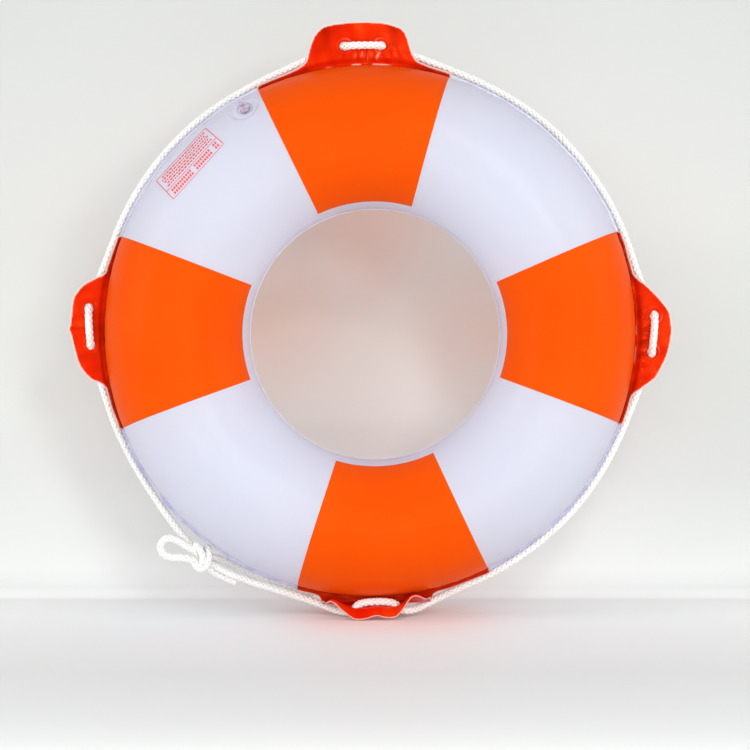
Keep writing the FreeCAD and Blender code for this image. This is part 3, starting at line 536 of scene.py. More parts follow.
def braid(points, pitch=24.0, R0=2.60, lift=0.70, half_w=1.82, half_t=0.96, step=1.15, slack=0.12, seed=1,
          bare_start=False, bare_end=False, squeeze=1.0):
    """Eight strands plaited one over one, as in a solid braid line, round a plain core."""
    r = np.random.default_rng(seed)
    s, P = even(points, step)
    T, N, B = frames(P)
    L = s[-1]
    w = 2 * math.pi / pitch
    phase = r.uniform(0, 2 * math.pi)
    # slow changes in tightness along the line, and a lazy twist
    drift = 0.35 * np.sin(s / 61.0 + r.uniform(0, 6)) + 0.2 * np.sin(s / 23.0 + r.uniform(0, 6))
    V, F, UV, GROOVE_SHADE = [], [], [], []
    grow = np.ones(len(s))
    if bare_start:
        grow *= 1 - 0.35 * np.exp(-((s / 2.0) ** 2))
    if bare_end:
        grow *= 1 - 0.35 * np.exp(-(((L - s) / 2.0) ** 2))
    base = 0
    for k_ in range(8):
        sgn = 1 if k_ < 4 else -1
        th0 = (k_ % 4) * math.pi / 2
        th = sgn * (w * s) + th0 + phase * sgn * 0 + drift
        up = np.cos(4 * w * s) * (1 if sgn > 0 else -1)
        fat = 1 + slack * np.interp(s, np.linspace(0, L, max(4, int(L / 9))), r.uniform(-1, 1, max(4, int(L / 9))))
        ra = (R0 + lift * up) * grow * squeeze
        er = np.cos(th)[:, None] * N + np.sin(th)[:, None] * B
        Q = P + ra[:, None] * er
        Tq = np.gradient(Q, axis=0)
        Tq /= np.linalg.norm(Tq, axis=1)[:, None]
        side = np.cross(er, Tq)
        side /= np.linalg.norm(side, axis=1)[:, None]
        upv = np.cross(Tq, side)
        # a strand is fattest where it lies on top and narrow where it dives
        wid = half_w * (0.94 + 0.10 * up) * fat
        thk = half_t * (0.96 + 0.10 * up) * (0.5 + 0.5 * fat)
        v, f, uv = tube(Q, side, upv, wid, thk, 8)
        # painted shade: points lying nearer the line's middle, down in the grooves, get a lower value and so a darker
        # colour
        d = np.linalg.norm(v[:-2].reshape(len(s), 8, 3) - P[:, None, :], axis=2).ravel() / squeeze
        groove_shade_fac = np.clip((d - 2.35) / (4.30 - 2.35), 0, 1)
        V.append(v)
        UV.append(uv)
        GROOVE_SHADE.append(np.r_[groove_shade_fac, 0.5, 0.5])
        F += [[i + base for i in q] for q in f]
        base += len(v)
    # core, which shows only between strands; at a bare end it is the melted tip
    core = np.full(len(s), 2.3) * squeeze
    cp = P.copy()
    if bare_end:
        core = np.maximum(core, 3.75 * smooth(s, L - 3.2, L - 1.6))
    if bare_start:
        core = np.maximum(core, 3.75 * smooth(-s, -3.2, -1.6))
    extra_v, extra_r = [], []
    v, f, uv = tube(cp, N, B, core, core, 12)
    V.append(v)
    UV.append(uv)
    # the core lies deep between the strands and gets painted shade
    GROOVE_SHADE.append(np.r_[np.repeat(np.clip((core - 2.0) / 2.2, 0, 1), 12), 0.6, 0.6])
    F += [[i + base for i in q] for q in f]
    base += len(v)
    for flag, c0, t0, n0, b0 in ((bare_start, P[0], -T[0], N[0], B[0]), (bare_end, P[-1], T[-1], N[-1], B[-1])):
        if not flag:
            continue
        rows, m = 6, 14
        ring = np.arange(m) * 2 * math.pi / m
        dome = []
        for i in range(rows):
            e = (i / rows) * math.pi / 2
            rr, up_ = 3.75 * math.cos(e), 1.5 * math.sin(e) - 0.3
            dome.append(c0 + t0 * up_ + rr * (np.cos(ring)[:, None] * n0 + np.sin(ring)[:, None] * b0))
        dome = np.vstack(dome + [(c0 + t0 * 1.2)[None, :], (c0 - t0 * 0.5)[None, :]])
        turn = float(np.cross(n0, b0) @ t0) > 0
        fs = []
        for i in range(rows - 1):
            for j in range(m):
                q = [i * m + j, i * m + (j + 1) % m, (i + 1) * m + (j + 1) % m, (i + 1) * m + j]
                fs.append(q if turn else q[::-1])
        for j in range(m):
            q = [(rows - 1) * m + j, (rows - 1) * m + (j + 1) % m, rows * m]
            fs.append(q if turn else q[::-1])
            q = [(j + 1) % m, j, rows * m + 1]
            fs.append(q if turn else q[::-1])
        V.append(dome)
        UV.append(np.full((len(dome), 2), 0.5))
        GROOVE_SHADE.append(np.full(len(dome), 0.62))
        F += [[i + base for i in q] for q in fs]
        base += len(dome)
    return np.vstack(V), F, np.vstack(UV), np.concatenate(GROOVE_SHADE), P, L


def rope_piece(name, pts, node_name, **kw):
    co = route(pts)
    V, F, UV, GROOVE_SHADE, P, L = braid(co, **kw)
    ob = make(name, V, F, M_ROPE, uv=UV, attrs={"groove_shade": GROOVE_SHADE})
    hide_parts(node_name)
    path = (even(co, 2.0)[1] * MM).tolist()
    return ob, path, L


knot, _, _ = rope_piece("rope_knot", KNOT, "line_knot", seed=5, squeeze=0.93, pitch=23.0)
line, line_path, line_len = rope_piece("rope_line", LINE, "grab_line", seed=2)
loop, loop_path, loop_len = rope_piece("rope_loop", LOOP, "slip_loop", seed=3)
long_, long_path, long_len = rope_piece("rope_long_end", LONG, "long_tail", seed=4, bare_end=True)
short, short_path, short_len = rope_piece("rope_short_end", SHORT, "short_tail", seed=6, bare_end=True)
print("cord lengths", round(line_len, 1), round(loop_len, 1), round(long_len, 1), round(short_len, 1))


# ------------------------------------------------------------------ the inflated tube
seam_rip = waves(rng, 46, 150, 14)
seam_rip2 = waves(rng, 90, 240, 10)
hole_rip = waves(rng, 18, 60, 12)
slow_rip = waves(rng, 2, 7, 5)


def surf(th, ph, off=0.0, back=False, dent=True):
    th, ph = np.broadcast_arrays(np.asarray(th, float), np.asarray(ph, float))
    so = RT * ph
    si = RT * (math.pi - ph)
    r = RT + off
    r = r + 0.30 * np.exp(-so / 7.0) * seam_rip(th) + 0.12 * np.exp(-so / 16.0) * seam_rip2(th + 0.02 * so)
    r = r + 0.28 * np.exp(-si / 9.0) * hole_rip(th) + 0.25 * slow_rip(th) * np.sin(ph) ** 2
    h = RM + r * np.cos(ph)
    y = (1 if back else -1) * r * np.sin(ph)
    w = ((1 - np.cos(ph)) / 2) ** 1.2
    P = np.stack([CX + h * np.cos(th) + HOLE_X * w, y, CZ + h * np.sin(th) + HOLE_Z * w], -1)
    if dent and not back:
        rel = P - VALVE_O
        ax = rel @ VALVE_A
        rr = np.sqrt(np.maximum((rel**2).sum(-1) - ax**2, 0))
        near = ax > -30
        b = np.where(near, 1 - smooth(rr, 12.0, 18.5), 0.0)
        P = P - (b * (ax - 0.12 - off))[..., None] * VALVE_A
    return P


def film(name, node_name, back):
    th = np.arange(760) * 2 * math.pi / 760
    ph = np.linspace(0, math.pi, 100)
    if not back:
        az, pv = math.radians(119.5), math.radians(36.1)
        extra = az + np.linspace(-0.075, 0.075, 97)
        th = np.unique(np.round(np.r_[th[(th < extra[0]) | (th > extra[-1])], extra], 6))
        ep = pv + np.linspace(-0.26, 0.26, 66)
        ph = np.unique(np.round(np.r_[ph[(ph < ep[0]) | (ph > ep[-1])], ep], 6))
    P = surf(th[:, None], ph[None, :], back=back)
    V = P.reshape(-1, 3)
    F = grid(len(th), len(ph), wrap_u=True, flip=back)
    if not back:
        rel = V - VALVE_O
        ax = rel @ VALVE_A
        rr = np.sqrt(np.maximum((rel**2).sum(-1) - ax**2, 0))
        hole = (rr < 8.4) & (np.abs(ax) < 12)
        F = F[~hole[F].all(1)]
        used = np.zeros(len(V), bool)
        used[F.ravel()] = True
        re = np.cumsum(used) - 1
        V, F = V[used], re[F]
    ob = make(name, V, F, M_WHITE)
    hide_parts(node_name)
    sol = ob.modifiers.new("skin", "SOLIDIFY")
    sol.thickness = 0.0004
    sol.offset = -1.0
    return ob


film("film_front", "front_film", False)
film("film_back", "back_film", True)


def edge_angle(name, ph):
    lo, hi, dl, dh = SECTORS[name]
    f = np.clip(np.degrees(ph) / 157.5, 0, 1)
    return rad(lo + dl * f), rad(hi + dh * f)


def print_panel(name, back):
    nu, nv = 120, 92
    u = np.r_[0, np.linspace(0, 1, nu), 1]
    v = np.r_[0, np.linspace(0, 1, nv), 1]
    ph = rad(0.5) + (rad(157.5) - rad(0.5)) * v
    lo, hi = edge_angle(name, ph)
    th = lo[None, :] + (hi - lo)[None, :] * u[:, None]
    phg = np.broadcast_to(ph[None, :], th.shape)
    off = np.full(th.shape, 0.17)
    off[0, :] = off[-1, :] = off[:, 0] = off[:, -1] = -0.12
    P = surf(th, phg, off=off, back=back)
    mid = rad(sum(SECTORS[name][:2]) / 2)
    uvx = (th - mid) * (RM + RT * np.cos(phg)) * MM
    uvy = (phg - math.pi / 2) * RT * MM
    ob = make(("print_back_" if back else "print_front_") + name, P.reshape(-1, 3), grid(len(u), len(v), flip=back),
              M_ORANGE, uv=np.stack([uvx.ravel(), uvy.ravel()], 1))
    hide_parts(("back_panel_" if back else "front_panel_") + name)
    return ob


for nm in SECTORS:
    for bk in (False, True):
        print_panel(nm, bk)


# bead of the inner weld, which follows the hole's edge
def inner_bead():
    n, m = 560, 10
    th = np.arange(n) * 2 * math.pi / n
    a = np.arange(m) * 2 * math.pi / m
    hw = waves(np.random.default_rng(9), 20, 70, 10)(th)
    rr = 132.4 + 0.12 * hw
    rad_ = rr[:, None] + 0.7 * np.cos(a)[None, :]
    y = 0.5 * np.sin(a)[None, :] + 0.10 * hw[:, None]
    V = np.stack([CX + HOLE_X + rad_ * np.cos(th)[:, None], np.broadcast_to(y, rad_.shape),
                  CZ + HOLE_Z + rad_ * np.sin(th)[:, None]], -1).reshape(-1, 3)
    ob = make("bead_inner", V, grid(n, m, wrap_u=True, wrap_v=True, flip=True), M_BEAD)
    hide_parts("inner_weld")


inner_bead()


# ------------------------------------------------------------------ flanges and tabs
def catmull(pts, step, closed=False):
    p = np.asarray(pts, float)
    q = np.vstack([2 * p[0] - p[1], p, 2 * p[-1] - p[-2]])
    out = []
    for i in range(1, len(q) - 2):
        t = np.linspace(0, 1, 24, endpoint=False)[:, None]
        a, b, c, d = q[i - 1], q[i], q[i + 1], q[i + 2]
        out.append(0.5 * ((2 * b) + (c - a) * t + (2 * a - 5 * b + 4 * c - d) * t**2 + (3 * b - a - 3 * c + d) * t**3))
    out = np.vstack(out + [p[-1:]])
    d = np.r_[0, np.cumsum(np.linalg.norm(np.diff(out, axis=0), axis=1))]
    n = max(2, int(round(d[-1] / step)))
    s = np.linspace(0, d[-1], n + 1)
    return np.stack([np.interp(s, d, out[:, 0]), np.interp(s, d, out[:, 1])], 1)


def inside(poly, pts):
    x, y = pts[:, 0], pts[:, 1]
    res = np.zeros(len(pts), bool)
    x1, y1 = poly[:, 0], poly[:, 1]
    x2, y2 = np.roll(x1, -1), np.roll(y1, -1)
    for a, b, c, d in zip(x1, y1, x2, y2):
        if b == d:
            continue
        hit = ((b > y) != (d > y)) & (x < (c - a) * (y - b) / (d - b) + a)
        res ^= hit
    return res


def edge_dist(poly, pts, closed=True):
    a = poly
    b = np.roll(poly, -1, axis=0)
    if not closed:
        a, b = a[:-1], b[:-1]
    ab = b - a
    l2 = np.maximum((ab**2).sum(1), 1e-12)
    out = np.full(len(pts), 1e9)
    for i in range(len(a)):
        t = np.clip(((pts - a[i]) @ ab[i]) / l2[i], 0, 1)
        d = np.linalg.norm(pts - (a[i] + t[:, None] * ab[i]), axis=1)
        out = np.minimum(out, d)
    return out


OV_T, OV_H = 0.877, 0.731  # the rope draws each round hole a little oval: half lengths 5.7 and 4.75


def oval(hx, hy, rr, n=40):
    a = np.arange(n) * 2 * math.pi / n
    g = np.clip((rr - 6.5) / 4.0, 0, 1)
    return np.stack([hx + rr * (OV_T + (1 - OV_T) * g) * np.cos(a), hy + rr * (OV_H + (1 - OV_H) * g) * np.sin(a)], 1)


def oval_dist(t, h, hx, hy):
    """Like a distance from the hole's middle, 6.5 on the drawn hole's edge and true further out."""
    d = np.hypot(t - hx, h - hy)
    for _ in range(6):
        g = np.clip((d - 6.5) / 4.0, 0, 1)
        d = np.hypot((t - hx) / (OV_T + (1 - OV_T) * g), (h - hy) / (OV_H + (1 - OV_H) * g))
    return d


def plate(outer, inner, holes, cell=1.7, extra=()):
    """A flat sheet filled with even triangles between an outer and an inner edge line, with round holes.

    outer and inner are open lines running the same way; their ends are joined.  Returns points, faces and the
    distance of each point from the outer edge line."""
    poly = np.vstack([outer, inner[::-1]])
    pts = [poly]
    edges = [(i, (i + 1) % len(poly)) for i in range(len(poly))]
    base = len(poly)
    for hx, hy, hr in holes:
        for ring, rr in enumerate((hr, hr + 0.7, hr + 1.4, hr + 2.1, hr + 2.8, hr + 3.5, hr + 4.3)):
            pts.append(oval(hx, hy, rr))
            if ring == 0:
                edges += [(base + i, base + (i + 1) % 40) for i in range(40)]
            base += 40
    tan = np.gradient(outer, axis=0)
    tan /= np.linalg.norm(tan, axis=1)[:, None]
    inw = np.stack([-tan[:, 1], tan[:, 0]], 1)
    if not inside(poly, outer[len(outer) // 2] [None, :] + inw[len(outer) // 2][None, :])[0]:
        inw = -inw
    for d_in in (0.5, 1.1):
        near = outer[1:-1] + d_in * inw[1:-1]
        near = near[inside(poly, near)]
        near = near[np.abs(edge_dist(poly, near) - d_in) < 0.12]
        pts.append(near)
    lo, hi = poly.min(0), poly.max(0)
    gx = np.arange(lo[0], hi[0], cell)
    gy = np.arange(lo[1], hi[1], cell * 0.866)
    G = np.array([(x + (cell / 2 if j % 2 else 0), y) for j, y in enumerate(gy) for x in gx])
    if len(extra):
        G = np.vstack([G, np.asarray(extra)])
    G = G[inside(poly, G)]
    G = G[edge_dist(poly, G) > 1.1 + cell * 0.35]
    for hx, hy, hr in holes:
        G = G[np.hypot(G[:, 0] - hx, G[:, 1] - hy) > hr + 4.3 + cell * 0.5]
    pts.append(G)
    allp = np.vstack(pts)
    vs, _, fs, *_ = geometry.delaunay_2d_cdt([Vector(p) for p in allp.tolist()], edges, [], 0, 1e-4)
    Q = np.array([(v.x, v.y) for v in vs])
    F = np.array([list(f) for f in fs if len(f) == 3])
    cen = Q[F].mean(1)
    ok = inside(poly, cen)
    for hx, hy, hr in holes:
        ok &= ~inside(oval(hx, hy, hr), cen)
    F = F[ok]
    used = np.zeros(len(Q), bool)
    used[F.ravel()] = True
    re = np.cumsum(used) - 1
    Q, F = Q[used], re[F]
    return Q, F, edge_dist(outer, Q, closed=False)


def arc_line(r, a0, a1, step=1.6):
    """Points on an arc of radius r, in tab coordinates (t along the rim, h outwards); angles from the tab's middle."""
    n = max(2, int(abs(a1 - a0) * math.pi / 180 * (r if np.isscalar(r) else 285) / step))
    a = rad(np.linspace(a0, a1, n + 1))
    rr = r(a) if callable(r) else r
    return np.stack([rr * np.sin(a), rr * np.cos(a)], 1)


def flat_piece(name, mid, Q, F, edge, y, mats, node_name, hy=None, thick=0.9, tone=None, rim=1.15, pale=None,
               rim_floor=0.0):
    h = Q[:, 1] if hy is None else hy
    a = math.radians(mid)
    V = np.stack([CX + h * math.cos(a) - Q[:, 0] * math.sin(a), y, CZ + h * math.sin(a) + Q[:, 0] * math.cos(a)], 1)
    # edge: the pale rim colour at the cut edge, drawn further in by pale, the painted highlights; tone: painted light
    # and shade
    edge = np.maximum(np.clip(edge / rim, 0, 1), rim_floor) * (1 - (0 if pale is None else np.clip(pale, 0, 1)))
    tone = np.full(len(Q), 0.5) if tone is None else np.clip(tone, 0, 1)
    ob = make(name, V, F[:, ::-1], mats, attrs={"edge": edge, "tone": tone})
    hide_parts(node_name)
    sol = ob.modifiers.new("sheet", "SOLIDIFY")
    sol.thickness = thick * MM
    sol.offset = 0.0
    return ob


OUT = {
    "top": [(-65.8, 280.2), (-60.8, 282.3), (-57.5, 285.2), (-53.9, 292.3), (-51, 302.8), (-48, 312.4), (-44.2, 317.6),
            (-38.7, 320.7), (-24.8, 325.0), (-5.9, 326.6), (17.6, 326.4), (33.8, 324.4), (39.8, 322.4), (44.8, 318.6),
            (50.3, 311.6), (55.3, 298.6), (57.4, 290.3), (59.6, 285.4), (64.5, 281.6)],
    "left": [(-65.8, 278.9), (-59.4, 280.6), (-56.4, 284.2), (-53.7, 289.7), (-47, 302.4), (-38, 310.5), (-29.7, 314.6),
             (-16.6, 316.2), (-4.0, 317.6), (0.2, 318.6), (1.6, 318.9), (3.0, 318.3), (9.0, 316.3), (18.8, 314.0),
             (36.9, 308.6), (48, 301.5), (54.9, 293.6), (58.6, 284.6), (63.5, 279.0)],
    "right": [(-66.5, 277.9), (-62.1, 280.9), (-55.4, 290), (-51.5, 295.3), (-44.8, 303.4), (-35.2, 308.7),
              (-23.8, 314.0), (-12.4, 317.4), (3.7, 319.7), (14, 319), (24.6, 317.0), (29.8, 314.0), (33.4, 311.2),
              (42.1, 303.5), (52.8, 292), (61.0, 281.6), (66.0, 277.6)],
}
MIDS = {"top": TT, "left": TL, "right": TR, "bottom": TB}

flange_rip = {k_: waves(np.random.default_rng(i + 30), 12, 90, 12, 0.5) for i, k_ in enumerate(SECTORS)}


def outer_of(name):
    lo, hi = SECTORS[name][:2]
    mid = MIDS[name]
    rip = flange_rip[name]
    core = catmull(OUT[name], 1.25)
    a_first = math.degrees(math.atan2(core[0][0], core[0][1]))
    a_last = math.degrees(math.atan2(core[-1][0], core[-1][1]))
    r_first, r_last = np.hypot(*core[0]), np.hypot(*core[-1])
    lo_, hi_ = lo - mid, hi - mid

    def rr(a, r_join, a_join):
        near = np.exp(-np.abs(np.degrees(a) - a_join) / 2.2)
        return 285.3 + 0.35 * rip(a) + (r_join - 285.3 - 0.35 * rip(rad(a_join))) * near

    A = arc_line(lambda a: rr(a, r_first, a_first), lo_, a_first)[:-1]
    Z = arc_line(lambda a: rr(a, r_last, a_last), a_last, hi_)[1:]
    return np.vstack([A, core, Z]), arc_line(279.3, lo_, hi_)


def tab_height(name, Q):
    """How far each point of a tab stands in front of (-) or behind (+) the seam's plane."""
    t, h = Q[:, 0], Q[:, 1]
    rho = np.hypot(t, h)
    y = -1.9 * smooth(rho, 283.0, 289.2)
    y += 0.9 * smooth(rho, 291.0, 304.0)
    hold = smooth(rho, 284.0, 300.0)
    end = smooth(rho, 300.0, 322.0)
    if name == "top":
        y += hold * (-0.9 * np.sin((t + 30) / 31.0) - 0.5 * np.cos(t / 17.0))
        y += end * (1.3 + 0.8 * np.sin(t / 24.0 + 1.0))
        pk = np.exp(-(((h - 291.0) / 6.0) ** 2)) * np.exp(-(((t + 3) / 23.0) ** 2))
        y += -1.15 * pk * np.cos(2 * math.pi * (t + 0.06 * (h - 291) * t * 0.2) / 8.3 + 0.7)
        y += 0.5 * np.exp(-(((h - 299.2) / 1.9) ** 2)) * np.exp(-((t / 24.0) ** 2))
    if name == "left":
        y += hold * (0.8 * np.sin(t / 26.0) + 0.4 * np.cos(t / 13.0))
        v = np.abs(t - 1.6)
        y += -1.7 * np.exp(-v / 3.0) * smooth(h, 292.0, 316.0)
        y += end * (0.9 * np.sin(t / 19.0 + 0.8))
        y += 0.35 * np.exp(-(((h - 292.0) / 2.4) ** 2)) * np.exp(-((t / 26.0) ** 2)) * np.cos(2 * math.pi * t / 11.0)
    if name == "right":
        y += hold * (0.9 * np.sin(t / 23.0 + 2.2) - 0.4 * np.cos(t / 12.0 + 0.4))
        y += end * (0.8 * np.sin(t / 17.0 + 0.3))
        pk = np.exp(-(((h - 290.0) / 5.5) ** 2)) * np.exp(-(((t + 10) / 26.0) ** 2))
        y += -0.80 * pk * np.cos(2 * math.pi * t / 12.5 + 1.1)
        c = (t + 22) * 0.5 + (h - 296) * 0.86
        y += 0.55 * np.exp(-np.abs(c) / 2.2) * smooth(-t, -6.0, 30.0)
    # raised rings round the two holes, where the sheet is welded to its stiffener
    for ht, hh in HOLES[name]:
        d = oval_dist(t, h, ht, hh)
        y += -0.60 * np.exp(-(((d - 8.6) / 0.70) ** 2)) + 0.30 * np.exp(-(((d - 7.4) / 0.7) ** 2))
    # the weld line along the tube, broken here and there
    brk = 0.5 + 0.5 * np.sin(t / 5.3 + 1.3 * np.sin(t / 11.0))
    y += -0.40 * np.exp(-(((rho - 281.9) / 0.75) ** 2)) * (0.35 + 0.65 * brk)
    y += -0.22 * np.exp(-(((rho - 288.2) / 0.8) ** 2)) * hold * 2.2
    # thin puckers that run out from the seam along the flange
    y += 0.22 * np.exp(-(((rho - 284.5) / 3.0) ** 2)) * np.sin(t / 2.6 + 2.0 * np.sin(t / 17.0)) * (0.4 + 0.6 * (np.abs(t) > 50))
    return y


def tab_painted_light_and_mottle(name, Q):
    """Painted light and shade for a tab: 0 painted shade (deep red), 0.5 plain, 1 painted highlight (pale), with a
    little random mottling.
    """
    t, h = Q[:, 0], Q[:, 1]
    rho = np.hypot(t, h)
    tone = np.full(len(Q), 0.5)
    # root: the strip next to the tube, which is given painted shade below
    root = 1 - smooth(rho, 281.5, 290.0)
    flank = smooth(np.abs(t), 46, 62)
    if name == "top":
        # top tab: painted shade by the tube's root, on a lower patch and in one narrow streak; painted highlight and
        # shade on the pucker crests and troughs; the tip lighter and darker across as the light falls
        tone -= 0.20 * root * smooth(np.abs(t), 34, 52) + 0.20 * np.exp(-(((t - 38) / 14.0) ** 2) - (((h - 300) / 9.0) ** 2))
        pk = np.exp(-(((h - 291.0) / 5.0) ** 2)) * np.exp(-(((t + 9) / 19.0) ** 2))
        tone += 0.26 * pk * (0.15 + np.cos(2 * math.pi * (t + 0.5 * np.sin(h / 2.3)) / 8.3 + 0.7) ** 3)
        tone += 0.16 * smooth(h, 300, 322) * (np.cos((t + 8) / 15.0) - 0.5)
        tone -= 0.14 * np.exp(-(((t + 33) / 5.0) ** 2)) * smooth(h, 288, 300)
    elif name == "left":
        # left tab: painted shade in a band by the tube and under the rope, and painted shade and highlight either side
        # of the crease
        band = 1 - smooth(rho, 285.5, 291.5)
        tone -= 0.12 * band * (0.75 + 0.25 * np.cos(t / 19.0)) + 0.04 * root
        tone -= 0.20 * (1 - smooth(rho, 285.0, 299.0)) * (0.7 + 0.3 * np.cos((t - 18) / 14.0))
        tone -= 0.22 * np.exp(-(((t - 0.2) / 1.8) ** 2)) * smooth(h, 298.0, 312.0)
        tone += 0.07 * np.exp(-(((t - 3.6) / 1.8) ** 2)) * smooth(h, 300.0, 312.0)
        tone -= 0.10 * np.exp(-(((h - 292.0) / 3.0) ** 2)) * np.exp(-((t / 24.0) ** 2))
    else:
        # right tab: painted shade in a band by the tube, painted highlight and shade on the pucker crests and troughs
        band = 1 - smooth(rho + 2.2 * np.sin(t / 9.0), 286.5, 291.0)
        tone -= 0.12 * band + 0.04 * root
        tone -= 0.20 * (1 - smooth(rho, 285.0, 300.0)) * (0.7 + 0.3 * np.cos((t + 16) / 7.0))
        pk = np.exp(-(((h - 290.0) / 5.5) ** 2)) * np.exp(-(((t + 10) / 26.0) ** 2))
        tone += 0.24 * pk * np.cos(2 * math.pi * t / 12.5 + 1.1) ** 3
    # painted shade at the tab's flanks, close to the tube
    tone -= 0.22 * flank * (1 - smooth(rho, 283.5, 287.0))
    # random mottling, the sheet's own colour
    q = {"top": 0.3, "left": 1.9, "right": 4.1}[name]
    tone += 0.055 * np.sin(t / 3.9 + 1.7 * np.sin(h / 8.0 + q) + q) * smooth(h, 284, 296)
    tone += 0.05 * np.sin(t / 9.1 + h / 6.3 + 2 * q) + 0.035 * np.sin(t / 2.3 - h / 13.0 + q)
    # painted highlight and shade on the raised rings round the holes
    ring_s = {"top": 0.8, "left": 0.35, "right": 0.6}[name]
    for ht, hh in HOLES[name]:
        d = oval_dist(t, h, ht, hh)
        tone += ring_s * 0.17 * np.exp(-(((d - 8.6) / 0.6) ** 2)) - ring_s * 0.15 * np.exp(-(((d - 7.3) / 0.7) ** 2)) - ring_s * 0.09 * np.exp(-(((d - 9.9) / 0.7) ** 2))
    return tone


def tab_painted_highlight(name, Q):
    """Painted highlights on a tab: glints along the weld line, on the pucker crests and on one side of each hole's
    ring; 0 none, 1 full.
    """
    t, h = Q[:, 0], Q[:, 1]
    rho = np.hypot(t, h)
    # painted glints along the weld line, broken here and there
    brk = 0.5 + 0.5 * np.sin(t / 5.3 + 1.3 * np.sin(t / 11.0))
    amount = {"top": 0.55, "left": 0.0, "right": 0.22}[name]
    pale = amount * np.exp(-(((rho - 281.7) / 0.55) ** 2)) * smooth(brk, 0.35, 0.8) * (1 - smooth(np.abs(t), 30, 42))
    # painted highlights on the pucker crests
    if name == "top":
        pk = np.exp(-(((h - 290.5) / 4.6) ** 2)) * np.exp(-(((t + 10) / 17.0) ** 2))
        wav = np.maximum(0, np.cos(2 * math.pi * (t + 1.3 * np.sin(h / 3.1) + 1.6 * np.sin(t / 5.0)) / 8.3 + 0.7))
        pale += 0.42 * pk * wav**3 * (0.6 + 0.4 * np.sin(t / 3.7 + h / 2.2))
    if name == "right":
        pk = np.exp(-(((h - 290.5) / 4.5) ** 2)) * np.exp(-(((t + 10) / 24.0) ** 2))
        pale += 0.10 * pk * np.maximum(0, np.cos(2 * math.pi * (t + 1.5 * np.sin(h / 3.0)) / 12.5 + 1.1)) ** 3
    # painted highlight on one side of each hole's ring
    for i, (ht, hh) in enumerate(HOLES[name]):
        d = oval_dist(t, h, ht, hh)
        side = 0.5 + 0.5 * np.cos(np.arctan2(h - hh, t - ht) - (0.9 if i else 2.2))
        pale += {"top": 0.17, "left": 0.10, "right": 0.16}[name] * np.exp(-(((d - 8.9) / 0.5) ** 2)) * side**2
    return pale


for nm in ("top", "left", "right"):
    outer, inner = outer_of(nm)
    seam = np.vstack([arc_line(r_, -9, 9, 1.1) for r_ in (280.7, 281.2, 281.7, 282.2, 282.7)])
    Q, F, ed = plate(outer, inner, [(ht, hh, 6.5) for ht, hh in HOLES[nm]], cell=1.45, extra=seam)
    flat_piece("skirt_" + nm, MIDS[nm], Q, F, ed, tab_height(nm, Q), M_TAB, "tab_" + nm,
               tone=tab_painted_light_and_mottle(nm, Q), rim=1.7, pale=tab_painted_highlight(nm, Q))

# The lowest tab hangs forward over the floor like a short skirt.
prof = [(277.0, 0.0), (287.5, 0.0), (291.5, -24.0), (301.3, -37.0)]


def bent(h2):
    """The tab's section: how far out and how far forward a point lies that is h2 along the sheet."""
    p = np.array(prof)
    d = np.r_[0, np.cumsum(np.linalg.norm(np.diff(p, axis=0), axis=1))]
    s = np.arange(-40.0, d[-1] + 40.0, 0.25)
    ext = np.stack([np.interp(s, d, p[:, 0]), np.interp(s, d, p[:, 1])], 1)
    ext[s < 0] = p[0] + (s[s < 0])[:, None] * np.array([1.0, 0.0])
    u = (p[-1] - p[-2]) / np.linalg.norm(p[-1] - p[-2])
    ext[s > d[-1]] = p[-1] + (s[s > d[-1]] - d[-1])[:, None] * u
    win = np.hanning(29)
    win /= win.sum()
    hx = np.convolve(ext[:, 0], win, "same")
    yy = np.convolve(ext[:, 1], win, "same")
    q = np.asarray(h2) - 277.0
    return np.interp(q, s, hx), np.interp(q, s, yy)


